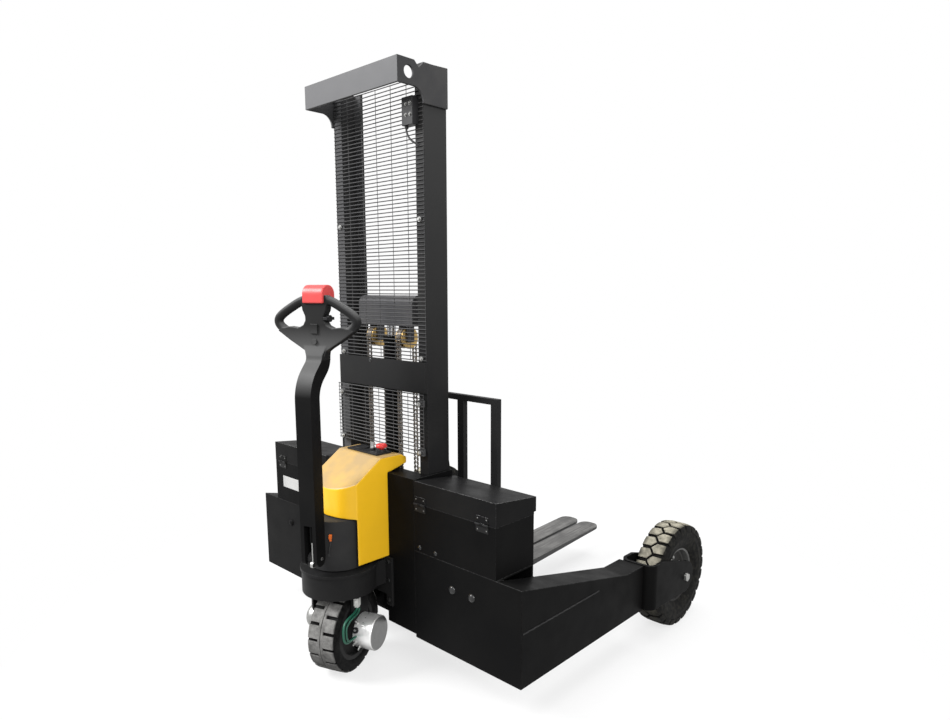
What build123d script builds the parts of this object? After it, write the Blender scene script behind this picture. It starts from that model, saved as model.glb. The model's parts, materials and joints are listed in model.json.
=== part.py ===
from build123d import *
import os
from math import cos, radians, sin, tan

os.makedirs("parts", exist_ok=True)

# A walk-behind straddle stacker. Sizes are in millimetres and degrees. While it is drawn, X runs across
# the truck, Y runs forward from the rear face of the battery boxes and Z runs up from the ground.

# Clearances
RUN_CLEARANCE = 0.05
MOVE_GAP = 0.5
SEAT_GAP = 0.3

# Straddle legs
LEG_OUTER = 706.0
LEG_WIDTH = 100.0
LEG_BOTTOM = 142.0
LEG_BEAM_HEIGHT = 171.0
LEG_REAR_HEIGHT = 308.0
LEG_SLOPE_LENGTH = 584.0
LEG_LENGTH = 690.0
LEG_WALL = 8.0

# Battery boxes and lids
BOX_DEPTH = 178.0
BOX_HEIGHT = 162.0
BOX_WALL = 3.0
BATTERY_GAP = 6.0
BATTERY_HEIGHT = 200.0
TERMINAL_RADIUS = 8.0
TERMINAL_HEIGHT = 10.0
LID_REAR_HEIGHT = 75.0
LID_FRONT_DROP = 20.0
LID_LIP = 10.0
LID_LIP_HEIGHT = 47.0
LID_SIDE_GAP = 1.5
HINGE_WIDTH = 50.0
HINGE_LEAF_HEIGHT = 25.0
HINGE_LEAF = 2.0
HINGE_KNUCKLE_RADIUS = 4.0
HINGE_PIN_RADIUS = 2.0
HINGE_KNUCKLE_SHARE = 0.35
HINGE_INNER_INSET = 31.0
HINGE_OUTER_INSET = 54.0

# Chassis frame
CHASSIS_BOTTOM = 153.0
DECK_HEIGHT = 690.0
DECK_DEPTH = 70.0
DECK_PLATE = 10.0
REAR_PLATE = 12.0
SIDE_PLATE = 11.0
FLOOR_PLATE = 10.0
TUNNEL_HALF = 102.0
TUNNEL_TOP = 254.0
TUNNEL_DEPTH = 45.0

# Mast
MAST_HALF = 235.0
MAST_REAR = 77.0
MAST_DEPTH = 96.5
MAST_TOP = 1988.0
MAST_WEB = 10.0
MAST_FLANGE = 12.0
MAST_FLANGE_WIDTH = 42.0
MAST_GUSSET_HEIGHT = 70.0
MAST_GUSSET_DEPTH = 16.0
CROWN_PLATE = 8.0
CROWN_REAR = -34.0
CROWN_HEIGHT = 76.0
CROWN_DROP = 5.0
CROWN_CHEEK_HEIGHT = 118.0
CROWN_NOTCH_Y = 52.0
CROWN_NOTCH_DEPTH = 18.0
CROWN_ARC_RADIUS = 37.0
CROWN_EYE_RADIUS = 18.0
CROWN_EYE_Y = 11.0
CROWN_EYE_DROP = 39.0
CROSS_PLATE_BOTTOM = 963.0
CROSS_PLATE_HEIGHT = 102.0
CROSS_PLATE = 8.0

# Guard mesh of welded wire
WIRE = 4.0
MESH_ROW_PITCH = 12.7
MESH_COLUMNS = 6
MESH_SIDE_GAP = 1.0
UPPER_MESH_DROP = 30.0
LOWER_MESH_RISE = 64.0
LOWER_MESH_STANDOFF = 15.0
MESH_TAB = 24.0

# Lift cylinder, crosshead and chains
LIFT_Y = 125.0
LIFT_STROKE = 690.0
BARREL_RADIUS = 27.0
BARREL_BORE = 22.0
BARREL_FOOT = 70.0
BARREL_FOOT_HEIGHT = 30.0
GLAND_RADIUS = 30.0
GLAND_HEIGHT = 20.0
PORT_RADIUS = 11.0
PORT_LENGTH = 14.0
PORT_HEIGHT = 67.0
ROD_RADIUS = 16.0
PISTON_LENGTH = 30.0
PISTON_BOTTOM = 400.0
CROSSHEAD_HALF = 145.0
CROSSHEAD_DEPTH = 60.0
CROSSHEAD_BOTTOM = 1178.0
CROSSHEAD_HEIGHT = 104.0
PULLEY_X = 80.0
PULLEY_Z = 1137.0
PULLEY_RADIUS = 32.0
PULLEY_FLANGE = 5.0
PULLEY_WIDTH = 34.0
PULLEY_PIN_RADIUS = 8.0
HANGER_PLATE = 6.0
HANGER_DEPTH = 30.0
CHAIN_WIDTH = 22.0
CHAIN_THICKNESS = 6.0
CHAIN_ANCHOR_WIDTH = 30.0
CHAIN_ANCHOR_DEPTH = 18.0
CHAIN_ANCHOR_HEIGHT = 40.0

# Fork carriage, backrest and forks
CARRIAGE_PLATE = 12.0
CARRIAGE_PLATE_GAP = 11.0
CARRIAGE_BOTTOM = 172.0
CARRIAGE_HEIGHT = 388.0
CARRIAGE_REAR = 92.0
CARRIAGE_FRONT = 205.0
CARRIAGE_TIE_BOTTOM = 330.0
CARRIAGE_TIE_HEIGHT = 50.0
CARRIAGE_TIE_DEPTH = 28.0
ROLLER_WIDTH = 28.0
ROLLER_WEB_GAP = 2.0
ROLLER_STUB_RADIUS = 12.0
LOWER_ROLLER_Z = 215.0
UPPER_ROLLER_Z = 520.0
FORK_BAR_HALF = 428.0
FORK_BAR_DEPTH = 30.0
FORK_BAR_HEIGHT = 60.0
UPPER_BAR_BOTTOM = 440.0
LOWER_BAR_BOTTOM = 190.0
HOOK_RELIEF = 30.0
BACKREST_TOP = 949.0
BACKREST_POST = 30.0
BACKREST_INNER_POSTS = (93.0, 259.0)
BACKREST_DEPTH = 20.0
BACKREST_BAR = 20.0
BACKREST_RAIL_GAP = 12.0
FORK_WIDTH = 100.0
FORK_MIDDLE_GAP = 16.0
FORK_SHANK = 34.0
FORK_HOOK = 24.0
FORK_HOOK_LIP = 14.0
FORK_HOOK_DROP = 20.0
FORK_HEEL_TOP = 112.0
FORK_HEEL_FILLET = 12.0
FORK_HEEL_DEPTH = 38.0
FORK_TIP_Y = 1330.0
FORK_TIP_DEPTH = 12.0
FORK_TIP_RADIUS = 42.0
FORK_RISE = 2.5

# Front wheels in their U-bent plate forks
WHEEL_X = 676.0
WHEEL_REACH = 260.0
WHEEL_RADIUS = 200.0
WHEEL_WIDTH = 106.0
WHEEL_GAP = 4.0
TYRE_BORE = 104.0
TYRE_BEAD_WIDTH = 70.0
TYRE_TREAD_WIDTH = 94.0
TYRE_SHOULDER = 14.0
RIM_WALL = 10.0
RIM_DISC = 12.0
HUB_RADIUS = 32.0
AXLE_RADIUS = 10.0
AXLE_NUT_RADIUS = 16.0
AXLE_NUT = 11.0
WHEEL_FORK_PLATE = 12.0
WHEEL_FORK_BEND = 35.0
WHEEL_FORK_BOTTOM = 146.0
WHEEL_FORK_HEIGHT = 170.0
WHEEL_FORK_SHOULDER = 80.0
WHEEL_FORK_NOSE = 62.0

# Steering housing, column and drive unit
STEER_Y = -126.0
REST_STEER = 21.0
HOUSING_RADIUS = 127.0
HOUSING_LIP = 4.0
HOUSING_BOTTOM = 293.0
HOUSING_HEIGHT = 86.0
HOUSING_WALL = 6.0
HOUSING_TOP = 10.0
HOUSING_NECK_HALF = 100.0
HOUSING_FLANGE = 8.0
HOUSING_FLANGE_HALF = 135.0
HOUSING_FLANGE_BOTTOM = 217.0
HOUSING_NOTCH_HALF = 104.0
HOUSING_FLANGE_TOP = 392.0
BEARING_INNER = 52.0
BEARING_OUTER = 98.0
BEARING_HEIGHT = 24.0
COLUMN_RADIUS = 40.0
HEAD_RADIUS = 95.0
HEAD_GAP = 5.0
HEAD_HEIGHT = 169.0
LUG_WIDTH = 12.0
TURNTABLE_RADIUS = 105.0
TURNTABLE = 15.0
BRACKET_ARM = 12.0
BRACKET_ARM_DEPTH = 90.0
BRACKET_BACK_RADIUS = 98.0
BRACKET_BACK_BOTTOM = 225.0
DRIVE_RADIUS = 147.0
DRIVE_WIDTH = 104.0
DRIVE_OFFSET = 12.0
DRIVE_GAP = 5.0
DRIVE_TYRE_BORE = 105.0
DRIVE_SHOULDER = 6.0
DRIVE_RECESS = 22.0
DRIVE_RIM_WALL = 15.0
DRIVE_HUB_BORE = 22.0
MOTOR_RADIUS = 59.0
MOTOR_LENGTH = 70.0
MOTOR_CHAMFER = 4.0
BRAKE_RADIUS = 42.0
BRAKE_LENGTH = 71.0
BRAKE_RISE = 18.0
BRAKE_ROUND = 24.0
LEAD_RADIUS = 4.5
LEAD_BEND = 10.0
LEAD_DROP = 13.0
LEAD_HANG = 24.0
LEAD_REACH = 85.0
PLUG_SIZE = 16.0
PLUG_LENGTH = 31.0
PLUG_DROP = 13.0

# Drive cover, control panel and what is under them
COVER_HALF = 116.0
COVER_BOTTOM = 395.0
COVER_RISE = 55.0
COVER_SIDE_REAR = -132.0
COVER_NOSE = -170.0
COVER_WALL = 4.0
COVER_SILL = 555.0
COVER_SLANT = 95.0
COVER_FLAT_REAR = -30.0
COVER_FLAT_FRONT = 58.0
COVER_FRONT = 84.0
COVER_FRONT_DROP = 14.0
COVER_FRONT_RISE = 19.0
PANEL_HALF = 82.0
PANEL_REAR = -20.0
PANEL_DEPTH = 66.0
PANEL_PLATE = 6.0
STOP_X = 60.0
STOP_Y = 20.0
STOP_RADIUS = 19.0
STOP_HEIGHT = 13.0
STOP_STEM_RADIUS = 8.0
STOP_BEZEL_RADIUS = 16.0
STOP_BEZEL_HEIGHT = 8.0
STOP_TRAVEL = 5.0
KEY_X = 18.0
KEY_Y = 14.0
KEY_BARREL_RADIUS = 11.0
KEY_BARREL_HEIGHT = 6.0
KEY_COLLAR_RADIUS = 8.0
KEY_COLLAR = 4.0
KEY_BOW = 18.0
KEY_BLADE = 4.0
GAUGE_X = -35.0
GAUGE_Y = 12.0
GAUGE_RADIUS = 24.0
GAUGE_HEIGHT = 4.0
PACK_BOTTOM = 572.0
TANK_LEFT = -100.0
TANK_RIGHT = 15.0
TANK_DEPTH = 105.0
TANK_DROP = 18.0
PUMP_X = 62.0
PUMP_RADIUS = 42.0
PUMP_DROP = 8.0
PUMP_FOOT = 18.0
CONTROLLER_LEFT = -190.0
CONTROLLER_RIGHT = -40.0
CONTROLLER_BOTTOM = 390.0
CONTROLLER_HEIGHT = 170.0
CONTROLLER_DEPTH = 46.0
CONTROLLER_FINS = 7
CONTROLLER_FIN_DEPTH = 14.0
HOSE_RADIUS = 7.0
HOSE_HOLE_RADIUS = 10.0
HOSE_BEND = 32.0
HOSE_Y = 52.0
HOSE_RISE = 28.0

# Limit switch under the crown
SWITCH_X = 190.0
SWITCH_WIDTH = 50.0
SWITCH_DEPTH = 26.0
SWITCH_DROP = 182.0
SWITCH_HEIGHT = 84.0

# Bolt heads
LEG_BOLT_X = (422.0, 507.0)
LEG_BOLT_Z = 365.0
LEG_BOLT_RADIUS = 12.0
LEG_BOLT_HEAD = 8.0
FLANGE_BOLT_X = 121.0
FLANGE_BOLT_Z = (238.0, 311.0, 378.0)
GUARD_BOLT_X = 212.0
SMALL_BOLT_RADIUS = 7.0
SMALL_BOLT_HEAD = 5.0
SMALL_BOLT_SHANK = 4.0
WASHER_RADIUS = 11.0
WASHER = 2.0

# Tiller, in the column's own frame: the arm stands behind the column, towards -Y
ARM_WIDTH = 58.0
ARM_DEPTH = 48.0
ARM_Y = -143.0
ARM_STRAIGHT_TOP = 960.0
ARM_CAVITY = 31.0
ARM_WALL = 3.5
ARM_SLOT_TOP = 560.0
ARM_FRONT_SLOT_TOP = 485.0
ARM_FOOT_RADIUS = 24.0
NECK_TURN = 45.0
NECK_LOWER_RADIUS = 110.0
NECK_UPPER_RADIUS = 50.0
HEAD_LOOP_Y = -77.0
HEAD_THICKNESS = 32.0
HEAD_WEB = 36.0
HEAD_ROUND = 9.0
HEAD_NECK_RISE = 12.0
HEAD_NECK_FLARE = 4.0
LOOP_HALF = 159.0
LOOP_END_RISE = 32.0
LOOP_END_BEND = 12.0
LOOP_ROUND = 18.0
LOOP_SHOULDER_RISE = 33.0
LOOP_SHOULDER_GAP = 2.0
GRIP = 32.0
HOLE_LOWER_Z = 1187.0
HOLE_END_Z = 1207.0
HOLE_TOP_X = 62.0
HOLE_TOP_Z = 1240.0
HOLE_ROUND = 8.0
PIVOT_Y = -138.0
PIVOT_Z = 446.0
PIVOT_RADIUS = 6.0
SPRING_X = 7.0
SPRING_Y = -155.5
STUD_BEHIND = 14.0
STUD_BELOW = 16.0
STUD_BALL_RADIUS = 4.5
STUD_PIN_RADIUS = 3.0
SPRING_EYE_RADIUS = 11.0
SPRING_EYE_BORE = 9.0
SPRING_EYE_WIDTH = 10.0
SPRING_ROD_RADIUS = 4.0
SPRING_TUBE_RADIUS = 7.5
SPRING_TUBE_BORE = 5.5
SPRING_TUBE_BOTTOM = 505.0
SPRING_TUBE_TOP = 688.0
SPRING_BOLT_Z = 673.0
SPRING_BOLT_RADIUS = 4.0
SPRING_END_CAP = 26.0
SPRING_GLAND = 20.0
SPRING_ROD_TOP = 630.0
BUTTON_HALF = 38.0
BUTTON_TOP = 1316.0
BUTTON_REAR = 22.0
BUTTON_FRONT = 46.0
BUTTON_ROUND = 30.0
BUTTON_TRAVEL = 8.0
BUTTON_SEAT = 1250.0
POST_HALF = 34.0
POST_DEPTH = 28.0
POST_TOP = 1290.0
THROTTLE_Z = 1212.0
THROTTLE_HUB_RADIUS = 11.0
THROTTLE_WIDTH = 14.0
THROTTLE_WING = 21.0
THROTTLE_WING_THICKNESS = 9.0
THROTTLE_SHAFT_RADIUS = 4.0
ROCKER_Z = 1180.0
ROCKER_WIDTH = 26.0
ROCKER_HEIGHT = 30.0
ROCKER_PROUD = 4.0
ROCKER_DEPTH = 4.0
ROCKER_GAP = 1.0
HORN_Z = 1140.0
HORN_RADIUS = 9.0
HORN_PROUD = 4.0
HORN_DEPTH = 3.5
HORN_TRAVEL = 2.0

# Places that follow from the sizes above
LEG_INNER = LEG_OUTER - LEG_WIDTH
LEG_REAR_TOP = LEG_BOTTOM + LEG_REAR_HEIGHT
LEG_BEAM_TOP = LEG_BOTTOM + LEG_BEAM_HEIGHT
BOX_OUTER = LEG_INNER
LID_SEAM = LEG_REAR_TOP + BOX_HEIGHT
LID_BOTTOM = LID_SEAM + SEAT_GAP
LID_REAR_TOP = LID_SEAM + LID_REAR_HEIGHT
LID_FRONT_TOP = LID_REAR_TOP - LID_FRONT_DROP
LID_FRONT = BOX_DEPTH + LID_LIP
HINGE_AXIS_Y = -HINGE_KNUCKLE_RADIUS
HINGE_AXIS_Z = LID_BOTTOM
CHASSIS_HALF = MAST_HALF + SIDE_PLATE
HINGE_PLACES = (CHASSIS_HALF + HINGE_INNER_INSET, BOX_OUTER - HINGE_OUTER_INSET)
FLOOR_TOP = CHASSIS_BOTTOM + FLOOR_PLATE
MAST_FRONT = MAST_REAR + MAST_DEPTH
MAST_INSIDE = MAST_HALF - MAST_FLANGE_WIDTH
CROWN_TOP = MAST_TOP - CROWN_DROP
SWITCH_BOTTOM = MAST_TOP - SWITCH_DROP
CROWN_HALF = MAST_HALF + CROWN_PLATE
MESH_HALF = MAST_HALF - MESH_SIDE_GAP
CROSS_PLATE_TOP = CROSS_PLATE_BOTTOM + CROSS_PLATE_HEIGHT
UPPER_MESH_BOTTOM = CROSS_PLATE_TOP + WIRE
UPPER_MESH_ROWS = int((MAST_TOP - UPPER_MESH_DROP - WIRE - UPPER_MESH_BOTTOM) // MESH_ROW_PITCH)
LOWER_MESH_BOTTOM = DECK_HEIGHT + LOWER_MESH_RISE
LOWER_MESH_ROWS = int((CROSS_PLATE_BOTTOM - WIRE - LOWER_MESH_BOTTOM) // MESH_ROW_PITCH)
UPPER_GUARD_ROWS = (0, (UPPER_MESH_ROWS + 1) // 2)
LOWER_GUARD_ROWS = (0, LOWER_MESH_ROWS - 3)
BARREL_TOP = PISTON_BOTTOM + PISTON_LENGTH + LIFT_STROKE + MOVE_GAP
GLAND_TOP = BARREL_TOP + GLAND_HEIGHT
CHAIN_LINE = PULLEY_RADIUS + SEAT_GAP + CHAIN_THICKNESS / 2
CHAIN_REAR_Y = LIFT_Y - CHAIN_LINE
CHAIN_FRONT_Y = LIFT_Y + CHAIN_LINE
FIXED_CHAIN_BOTTOM = FLOOR_TOP + CHAIN_ANCHOR_HEIGHT
LIFTED_CHAIN_BOTTOM = CARRIAGE_TIE_BOTTOM + CARRIAGE_TIE_HEIGHT
CARRIAGE_PLATE_OUTER = MAST_INSIDE - CARRIAGE_PLATE_GAP
CARRIAGE_PLATE_INNER = CARRIAGE_PLATE_OUTER - CARRIAGE_PLATE
CARRIAGE_TOP = CARRIAGE_BOTTOM + CARRIAGE_HEIGHT
ROLLER_RADIUS = (MAST_DEPTH - 2 * MAST_FLANGE) / 2 - MOVE_GAP
ROLLER_OUTER = MAST_HALF - MAST_WEB - ROLLER_WEB_GAP
ROLLER_INNER = ROLLER_OUTER - ROLLER_WIDTH
ROLLER_Y = MAST_REAR + MAST_DEPTH / 2
BAR_FRONT = CARRIAGE_FRONT + FORK_BAR_DEPTH
UPPER_BAR_TOP = UPPER_BAR_BOTTOM + FORK_BAR_HEIGHT
HOOK_TOP = UPPER_BAR_TOP + SEAT_GAP + FORK_HOOK
SHANK_REAR = BAR_FRONT + SEAT_GAP
SHANK_FRONT = SHANK_REAR + FORK_SHANK
FORK_TIP_TOP = FORK_HEEL_TOP + (FORK_TIP_Y - SHANK_FRONT) * tan(radians(FORK_RISE))
WHEEL_HALF = WHEEL_WIDTH / 2
WHEEL_Y = LEG_LENGTH + WHEEL_REACH
WHEEL_FORK_INSIDE = WHEEL_HALF + WHEEL_GAP
WHEEL_FORK_OUTSIDE = WHEEL_FORK_INSIDE + WHEEL_FORK_PLATE
HOUSING_TOP_Z = HOUSING_BOTTOM + HOUSING_HEIGHT
BEARING_TOP = HOUSING_TOP_Z - HOUSING_TOP
TURNTABLE_TOP = BEARING_TOP - BEARING_HEIGHT - SEAT_GAP
TURNTABLE_BOTTOM = TURNTABLE_TOP - TURNTABLE
HEAD_BOTTOM = HOUSING_TOP_Z + HEAD_GAP
HEAD_TOP = HEAD_BOTTOM + HEAD_HEIGHT
RIGHT_ARM_INNER = DRIVE_OFFSET + DRIVE_WIDTH / 2 + DRIVE_GAP
LEFT_ARM_INNER = DRIVE_OFFSET - DRIVE_WIDTH / 2 - DRIVE_GAP
RIGHT_ARM_OUTER = RIGHT_ARM_INNER + BRACKET_ARM
LEFT_ARM_OUTER = LEFT_ARM_INNER - BRACKET_ARM
COVER_TOP = DECK_HEIGHT + COVER_RISE
COVER_BREAK = COVER_TOP - COVER_SLANT
COVER_FRONT_TOP = COVER_TOP - COVER_FRONT_DROP
COVER_FRONT_BOTTOM = DECK_HEIGHT + COVER_FRONT_RISE
PANEL_TOP = COVER_TOP + PANEL_PLATE
PANEL_FRONT = PANEL_REAR + PANEL_DEPTH
BEZEL_TOP = PANEL_TOP + STOP_BEZEL_HEIGHT
STOP_HEAD_BOTTOM = BEZEL_TOP + STOP_TRAVEL + MOVE_GAP
KEY_BARREL_TOP = PANEL_TOP + KEY_BARREL_HEIGHT
LOWER_MESH_FRONT = MAST_REAR - LOWER_MESH_STANDOFF
ARM_FRONT = ARM_Y + ARM_DEPTH / 2
ARM_REAR = ARM_Y - ARM_DEPTH / 2
HEAD_REAR = HEAD_LOOP_Y - HEAD_THICKNESS / 2
HEAD_FRONT = HEAD_LOOP_Y + HEAD_THICKNESS / 2
STUD_Y = PIVOT_Y - STUD_BEHIND
STUD_Z = PIVOT_Z - STUD_BELOW

# The origin lies on the ground under the middle of the truck's length.
TILLER_REAR_Y = STEER_Y + ARM_REAR * cos(radians(REST_STEER)) - ARM_WIDTH / 2 * sin(radians(REST_STEER))
ORIGIN_Y = (FORK_TIP_Y + TILLER_REAR_Y) / 2


def block(x, y, z):
    """Box between the two limits given along each axis."""
    limits = (x, y, z)
    return Pos(*[(low + high) / 2 for low, high in limits]) * Box(*[high - low for low, high in limits])


def rod(start, end, radius):
    """Round bar between two points."""
    run = Vector(*end) - Vector(*start)
    return extrude(Plane(origin=start, z_dir=run) * Circle(radius), run.length)


def side_face(points):
    """Flat face from (Y, Z) points."""
    return make_face(Polyline(*points, close=True))


def across(face, x0, x1):
    """Solid of a (Y, Z) face between two X places."""
    return extrude(Plane(origin=(x0, 0, 0), x_dir=(0, 1, 0), z_dir=(1, 0, 0)) * face, x1 - x0)


def upward(face, z0, z1):
    """Solid of an (X, Y) face between two heights."""
    return extrude(Plane(origin=(0, 0, z0)) * face, z1 - z0)


def forward(face, y0, y1):
    """Solid of an (X, Z) face between two Y places."""
    return extrude(Plane(origin=(0, y0, 0), x_dir=(1, 0, 0), z_dir=(0, -1, 0)) * face, y0 - y1)


def turned(face):
    """Solid of revolution about X of a face drawn as (X, radius)."""
    return revolve(face, Axis.X)


def mirrored(shape):
    return mirror(shape, about=Plane.YZ)


def pair(shape):
    """A piece and its mirror image on the other side of the truck."""
    return Compound([shape, mirrored(shape)])


def group(*shapes):
    return Compound([solid for shape in shapes for solid in shape.solids()])


def leg_profile():
    return side_face([
        (0, LEG_BOTTOM),
        (LEG_LENGTH, LEG_BOTTOM),
        (LEG_LENGTH, LEG_BEAM_TOP),
        (LEG_SLOPE_LENGTH, LEG_BEAM_TOP),
        (0, LEG_REAR_TOP),
    ])


def leg():
    """Right leg: a sloping box beam and the box-section block that carries the battery box."""
    inner_profile = offset(leg_profile(), amount=-LEG_WALL, kind=Kind.INTERSECTION)
    beam = across(leg_profile(), LEG_INNER, LEG_OUTER)
    beam_hollow = across(inner_profile, LEG_INNER + LEG_WALL, LEG_OUTER - LEG_WALL)
    rear_block = block((CHASSIS_HALF, LEG_INNER), (0, BOX_DEPTH), (LEG_BOTTOM, LEG_REAR_TOP))
    slope = (LEG_REAR_TOP - LEG_BEAM_TOP) / LEG_SLOPE_LENGTH
    passage_top = LEG_REAR_TOP - slope * BOX_DEPTH - 2 * LEG_WALL
    block_hollow = block(
        (CHASSIS_HALF, LEG_INNER),
        (LEG_WALL, BOX_DEPTH - LEG_WALL),
        (LEG_BOTTOM + LEG_WALL, LEG_REAR_TOP - LEG_WALL),
    )
    passage = block(
        (LEG_INNER, LEG_INNER + LEG_WALL),
        (LEG_WALL, BOX_DEPTH - LEG_WALL),
        (LEG_BOTTOM + LEG_WALL, passage_top),
    )
    return beam + rear_block - beam_hollow - block_hollow - passage


def wheel_fork():
    """Right U-bent plate that carries the front wheel between its two arms."""
    reach = WHEEL_Y + WHEEL_FORK_NOSE
    outer = Pos(WHEEL_X, (LEG_LENGTH + reach) / 2) * Rectangle(2 * WHEEL_FORK_OUTSIDE, reach - LEG_LENGTH)
    outer = fillet(outer.vertices().sort_by(Axis.Y)[:2], WHEEL_FORK_BEND)
    back = LEG_LENGTH + WHEEL_FORK_PLATE
    inner = Pos(WHEEL_X, (back + reach) / 2) * Rectangle(2 * WHEEL_FORK_INSIDE, reach - back)
    inner = fillet(inner.vertices().sort_by(Axis.Y)[:2], WHEEL_FORK_BEND - WHEEL_FORK_PLATE)
    top = WHEEL_FORK_BOTTOM + WHEEL_FORK_HEIGHT
    shoulder = LEG_LENGTH + WHEEL_FORK_SHOULDER
    profile = side_face([
        (LEG_LENGTH, WHEEL_FORK_BOTTOM),
        (LEG_LENGTH, top),
        (shoulder, top),
        (WHEEL_Y, WHEEL_RADIUS + WHEEL_FORK_NOSE),
        (WHEEL_Y, WHEEL_RADIUS - WHEEL_FORK_NOSE),
        (shoulder, WHEEL_FORK_BOTTOM),
    ]) + Pos(WHEEL_Y, WHEEL_RADIUS) * Circle(WHEEL_FORK_NOSE)
    plate = upward(outer - inner, 0, 2 * top) & across(profile, 0, 2 * WHEEL_X)
    bore = rod(
        (WHEEL_X - 2 * WHEEL_FORK_OUTSIDE, WHEEL_Y, WHEEL_RADIUS),
        (WHEEL_X + 2 * WHEEL_FORK_OUTSIDE, WHEEL_Y, WHEEL_RADIUS),
        AXLE_RADIUS + RUN_CLEARANCE,
    )
    return plate - bore


def front_axle():
    centre = (WHEEL_Y, WHEEL_RADIUS)
    end = WHEEL_FORK_OUTSIDE + AXLE_NUT
    shaft = rod((WHEEL_X - end, *centre), (WHEEL_X + end, *centre), AXLE_RADIUS)
    nut = Rot(0, 90, 0) * extrude(RegularPolygon(AXLE_NUT_RADIUS, 6), AXLE_NUT)
    nuts = [Pos(WHEEL_X + place, *centre) * nut for place in (-end, WHEEL_FORK_OUTSIDE)]
    return shaft + nuts[0] + nuts[1]


def tyre(radius, width, tread_width, bead_width, bore, shoulder):
    """Round tyre about X with a crowned tread and bulging sides."""
    tread, half, bead = tread_width / 2, width / 2, bead_width / 2
    edge = radius - shoulder
    outline = Curve() + [
        Line((-bead, bore), (bead, bore)),
        ThreePointArc((bead, bore), (half, (bore + edge) / 2), (tread, edge)),
        ThreePointArc((tread, edge), (0, radius), (-tread, edge)),
        ThreePointArc((-tread, edge), (-half, (bore + edge) / 2), (-bead, bore)),
    ]
    return turned(make_face(outline))


def front_wheel_place():
    return Pos(WHEEL_X, WHEEL_Y, WHEEL_RADIUS)


def front_tyre():
    return front_wheel_place() * tyre(
        WHEEL_RADIUS, WHEEL_WIDTH, TYRE_TREAD_WIDTH, TYRE_BEAD_WIDTH, TYRE_BORE, TYRE_SHOULDER
    )


def front_rim():
    """Rim barrel, disc and hub that turn on the axle."""
    bead, disc = TYRE_BEAD_WIDTH / 2, RIM_DISC / 2
    hub_half = WHEEL_FORK_INSIDE - MOVE_GAP
    bore, barrel = AXLE_RADIUS + RUN_CLEARANCE, TYRE_BORE - RIM_WALL
    half = [
        (0, bore),
        (hub_half, bore),
        (hub_half, HUB_RADIUS),
        (disc, HUB_RADIUS),
        (disc, barrel),
        (bead, barrel),
        (bead, TYRE_BORE),
        (0, TYRE_BORE),
    ]
    right = turned(make_face(Polyline(*half, close=True)))
    return front_wheel_place() * (right + mirrored(right))


def battery_box():
    outer = block((CHASSIS_HALF, BOX_OUTER), (0, BOX_DEPTH), (LEG_REAR_TOP, LID_SEAM))
    inner = block(
        (CHASSIS_HALF + BOX_WALL, BOX_OUTER - BOX_WALL),
        (BOX_WALL, BOX_DEPTH - BOX_WALL),
        (LEG_REAR_TOP + BOX_WALL, LID_SEAM),
    )
    return outer - inner


def battery():
    bottom = LEG_REAR_TOP + BOX_WALL
    left, right = CHASSIS_HALF + BOX_WALL + BATTERY_GAP, BOX_OUTER - BOX_WALL - BATTERY_GAP
    depth = (BOX_WALL + BATTERY_GAP, BOX_DEPTH - BOX_WALL - BATTERY_GAP)
    top = bottom + BATTERY_HEIGHT - TERMINAL_HEIGHT
    case = block((left, right), depth, (bottom, top))
    inset = (depth[1] - depth[0]) / 4
    for x in (left + inset, right - inset):
        y = depth[0] + inset
        case += rod((x, y, top), (x, y, top + TERMINAL_HEIGHT), TERMINAL_RADIUS)
    return case


def lid_shell():
    """Right lid: a sheet cap with a sloping top and a hand lip along the front."""
    left, right = CHASSIS_HALF + LID_SIDE_GAP, BOX_OUTER
    lip_bottom = LID_FRONT_TOP - LID_LIP_HEIGHT
    outer = side_face([
        (0, LID_BOTTOM),
        (0, LID_REAR_TOP),
        (LID_FRONT, LID_FRONT_TOP),
        (LID_FRONT, lip_bottom),
        (BOX_DEPTH + SEAT_GAP, lip_bottom),
        (BOX_DEPTH + SEAT_GAP, LID_BOTTOM),
    ])
    inner = side_face([
        (BOX_WALL, LID_BOTTOM),
        (BOX_WALL, LID_REAR_TOP - BOX_WALL),
        (LID_FRONT - BOX_WALL, LID_FRONT_TOP - BOX_WALL),
        (LID_FRONT - BOX_WALL, lip_bottom),
        (BOX_DEPTH + SEAT_GAP, lip_bottom),
        (BOX_DEPTH + SEAT_GAP, LID_BOTTOM),
    ])
    return across(outer, left, right) - across(inner, left + BOX_WALL, right - BOX_WALL)


def hinge_leaf(x, upper):
    """One leaf of a butt hinge with its knuckles. The upper leaf has the middle knuckle."""
    middle = HINGE_WIDTH * HINGE_KNUCKLE_SHARE / 2
    half = HINGE_WIDTH / 2
    spans = [(-middle, middle)] if upper else [(-half, -middle - MOVE_GAP), (middle + MOVE_GAP, half)]
    sign = 1 if upper else -1
    start = HINGE_AXIS_Z + sign * (HINGE_KNUCKLE_RADIUS + MOVE_GAP)
    end = HINGE_AXIS_Z + sign * HINGE_LEAF_HEIGHT
    leaf = block((x - half, x + half), (-HINGE_LEAF, 0), sorted((start, end)))
    bore = HINGE_PIN_RADIUS + RUN_CLEARANCE
    for low, high in spans:
        ends = ((x + low, HINGE_AXIS_Y, HINGE_AXIS_Z), (x + high, HINGE_AXIS_Y, HINGE_AXIS_Z))
        leaf += block((x + low, x + high), (-HINGE_LEAF, 0), sorted((HINGE_AXIS_Z, start)))
        leaf += rod(*ends, HINGE_KNUCKLE_RADIUS)
        leaf -= rod(*ends, bore)
    return leaf


def hinge_pin(x):
    half = HINGE_WIDTH / 2
    axis = (HINGE_AXIS_Y, HINGE_AXIS_Z)
    return rod((x - half, *axis), (x + half, *axis), HINGE_PIN_RADIUS)


def right_lid():
    return group(lid_shell(), *[hinge_leaf(x, upper=True) for x in HINGE_PLACES])


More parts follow.
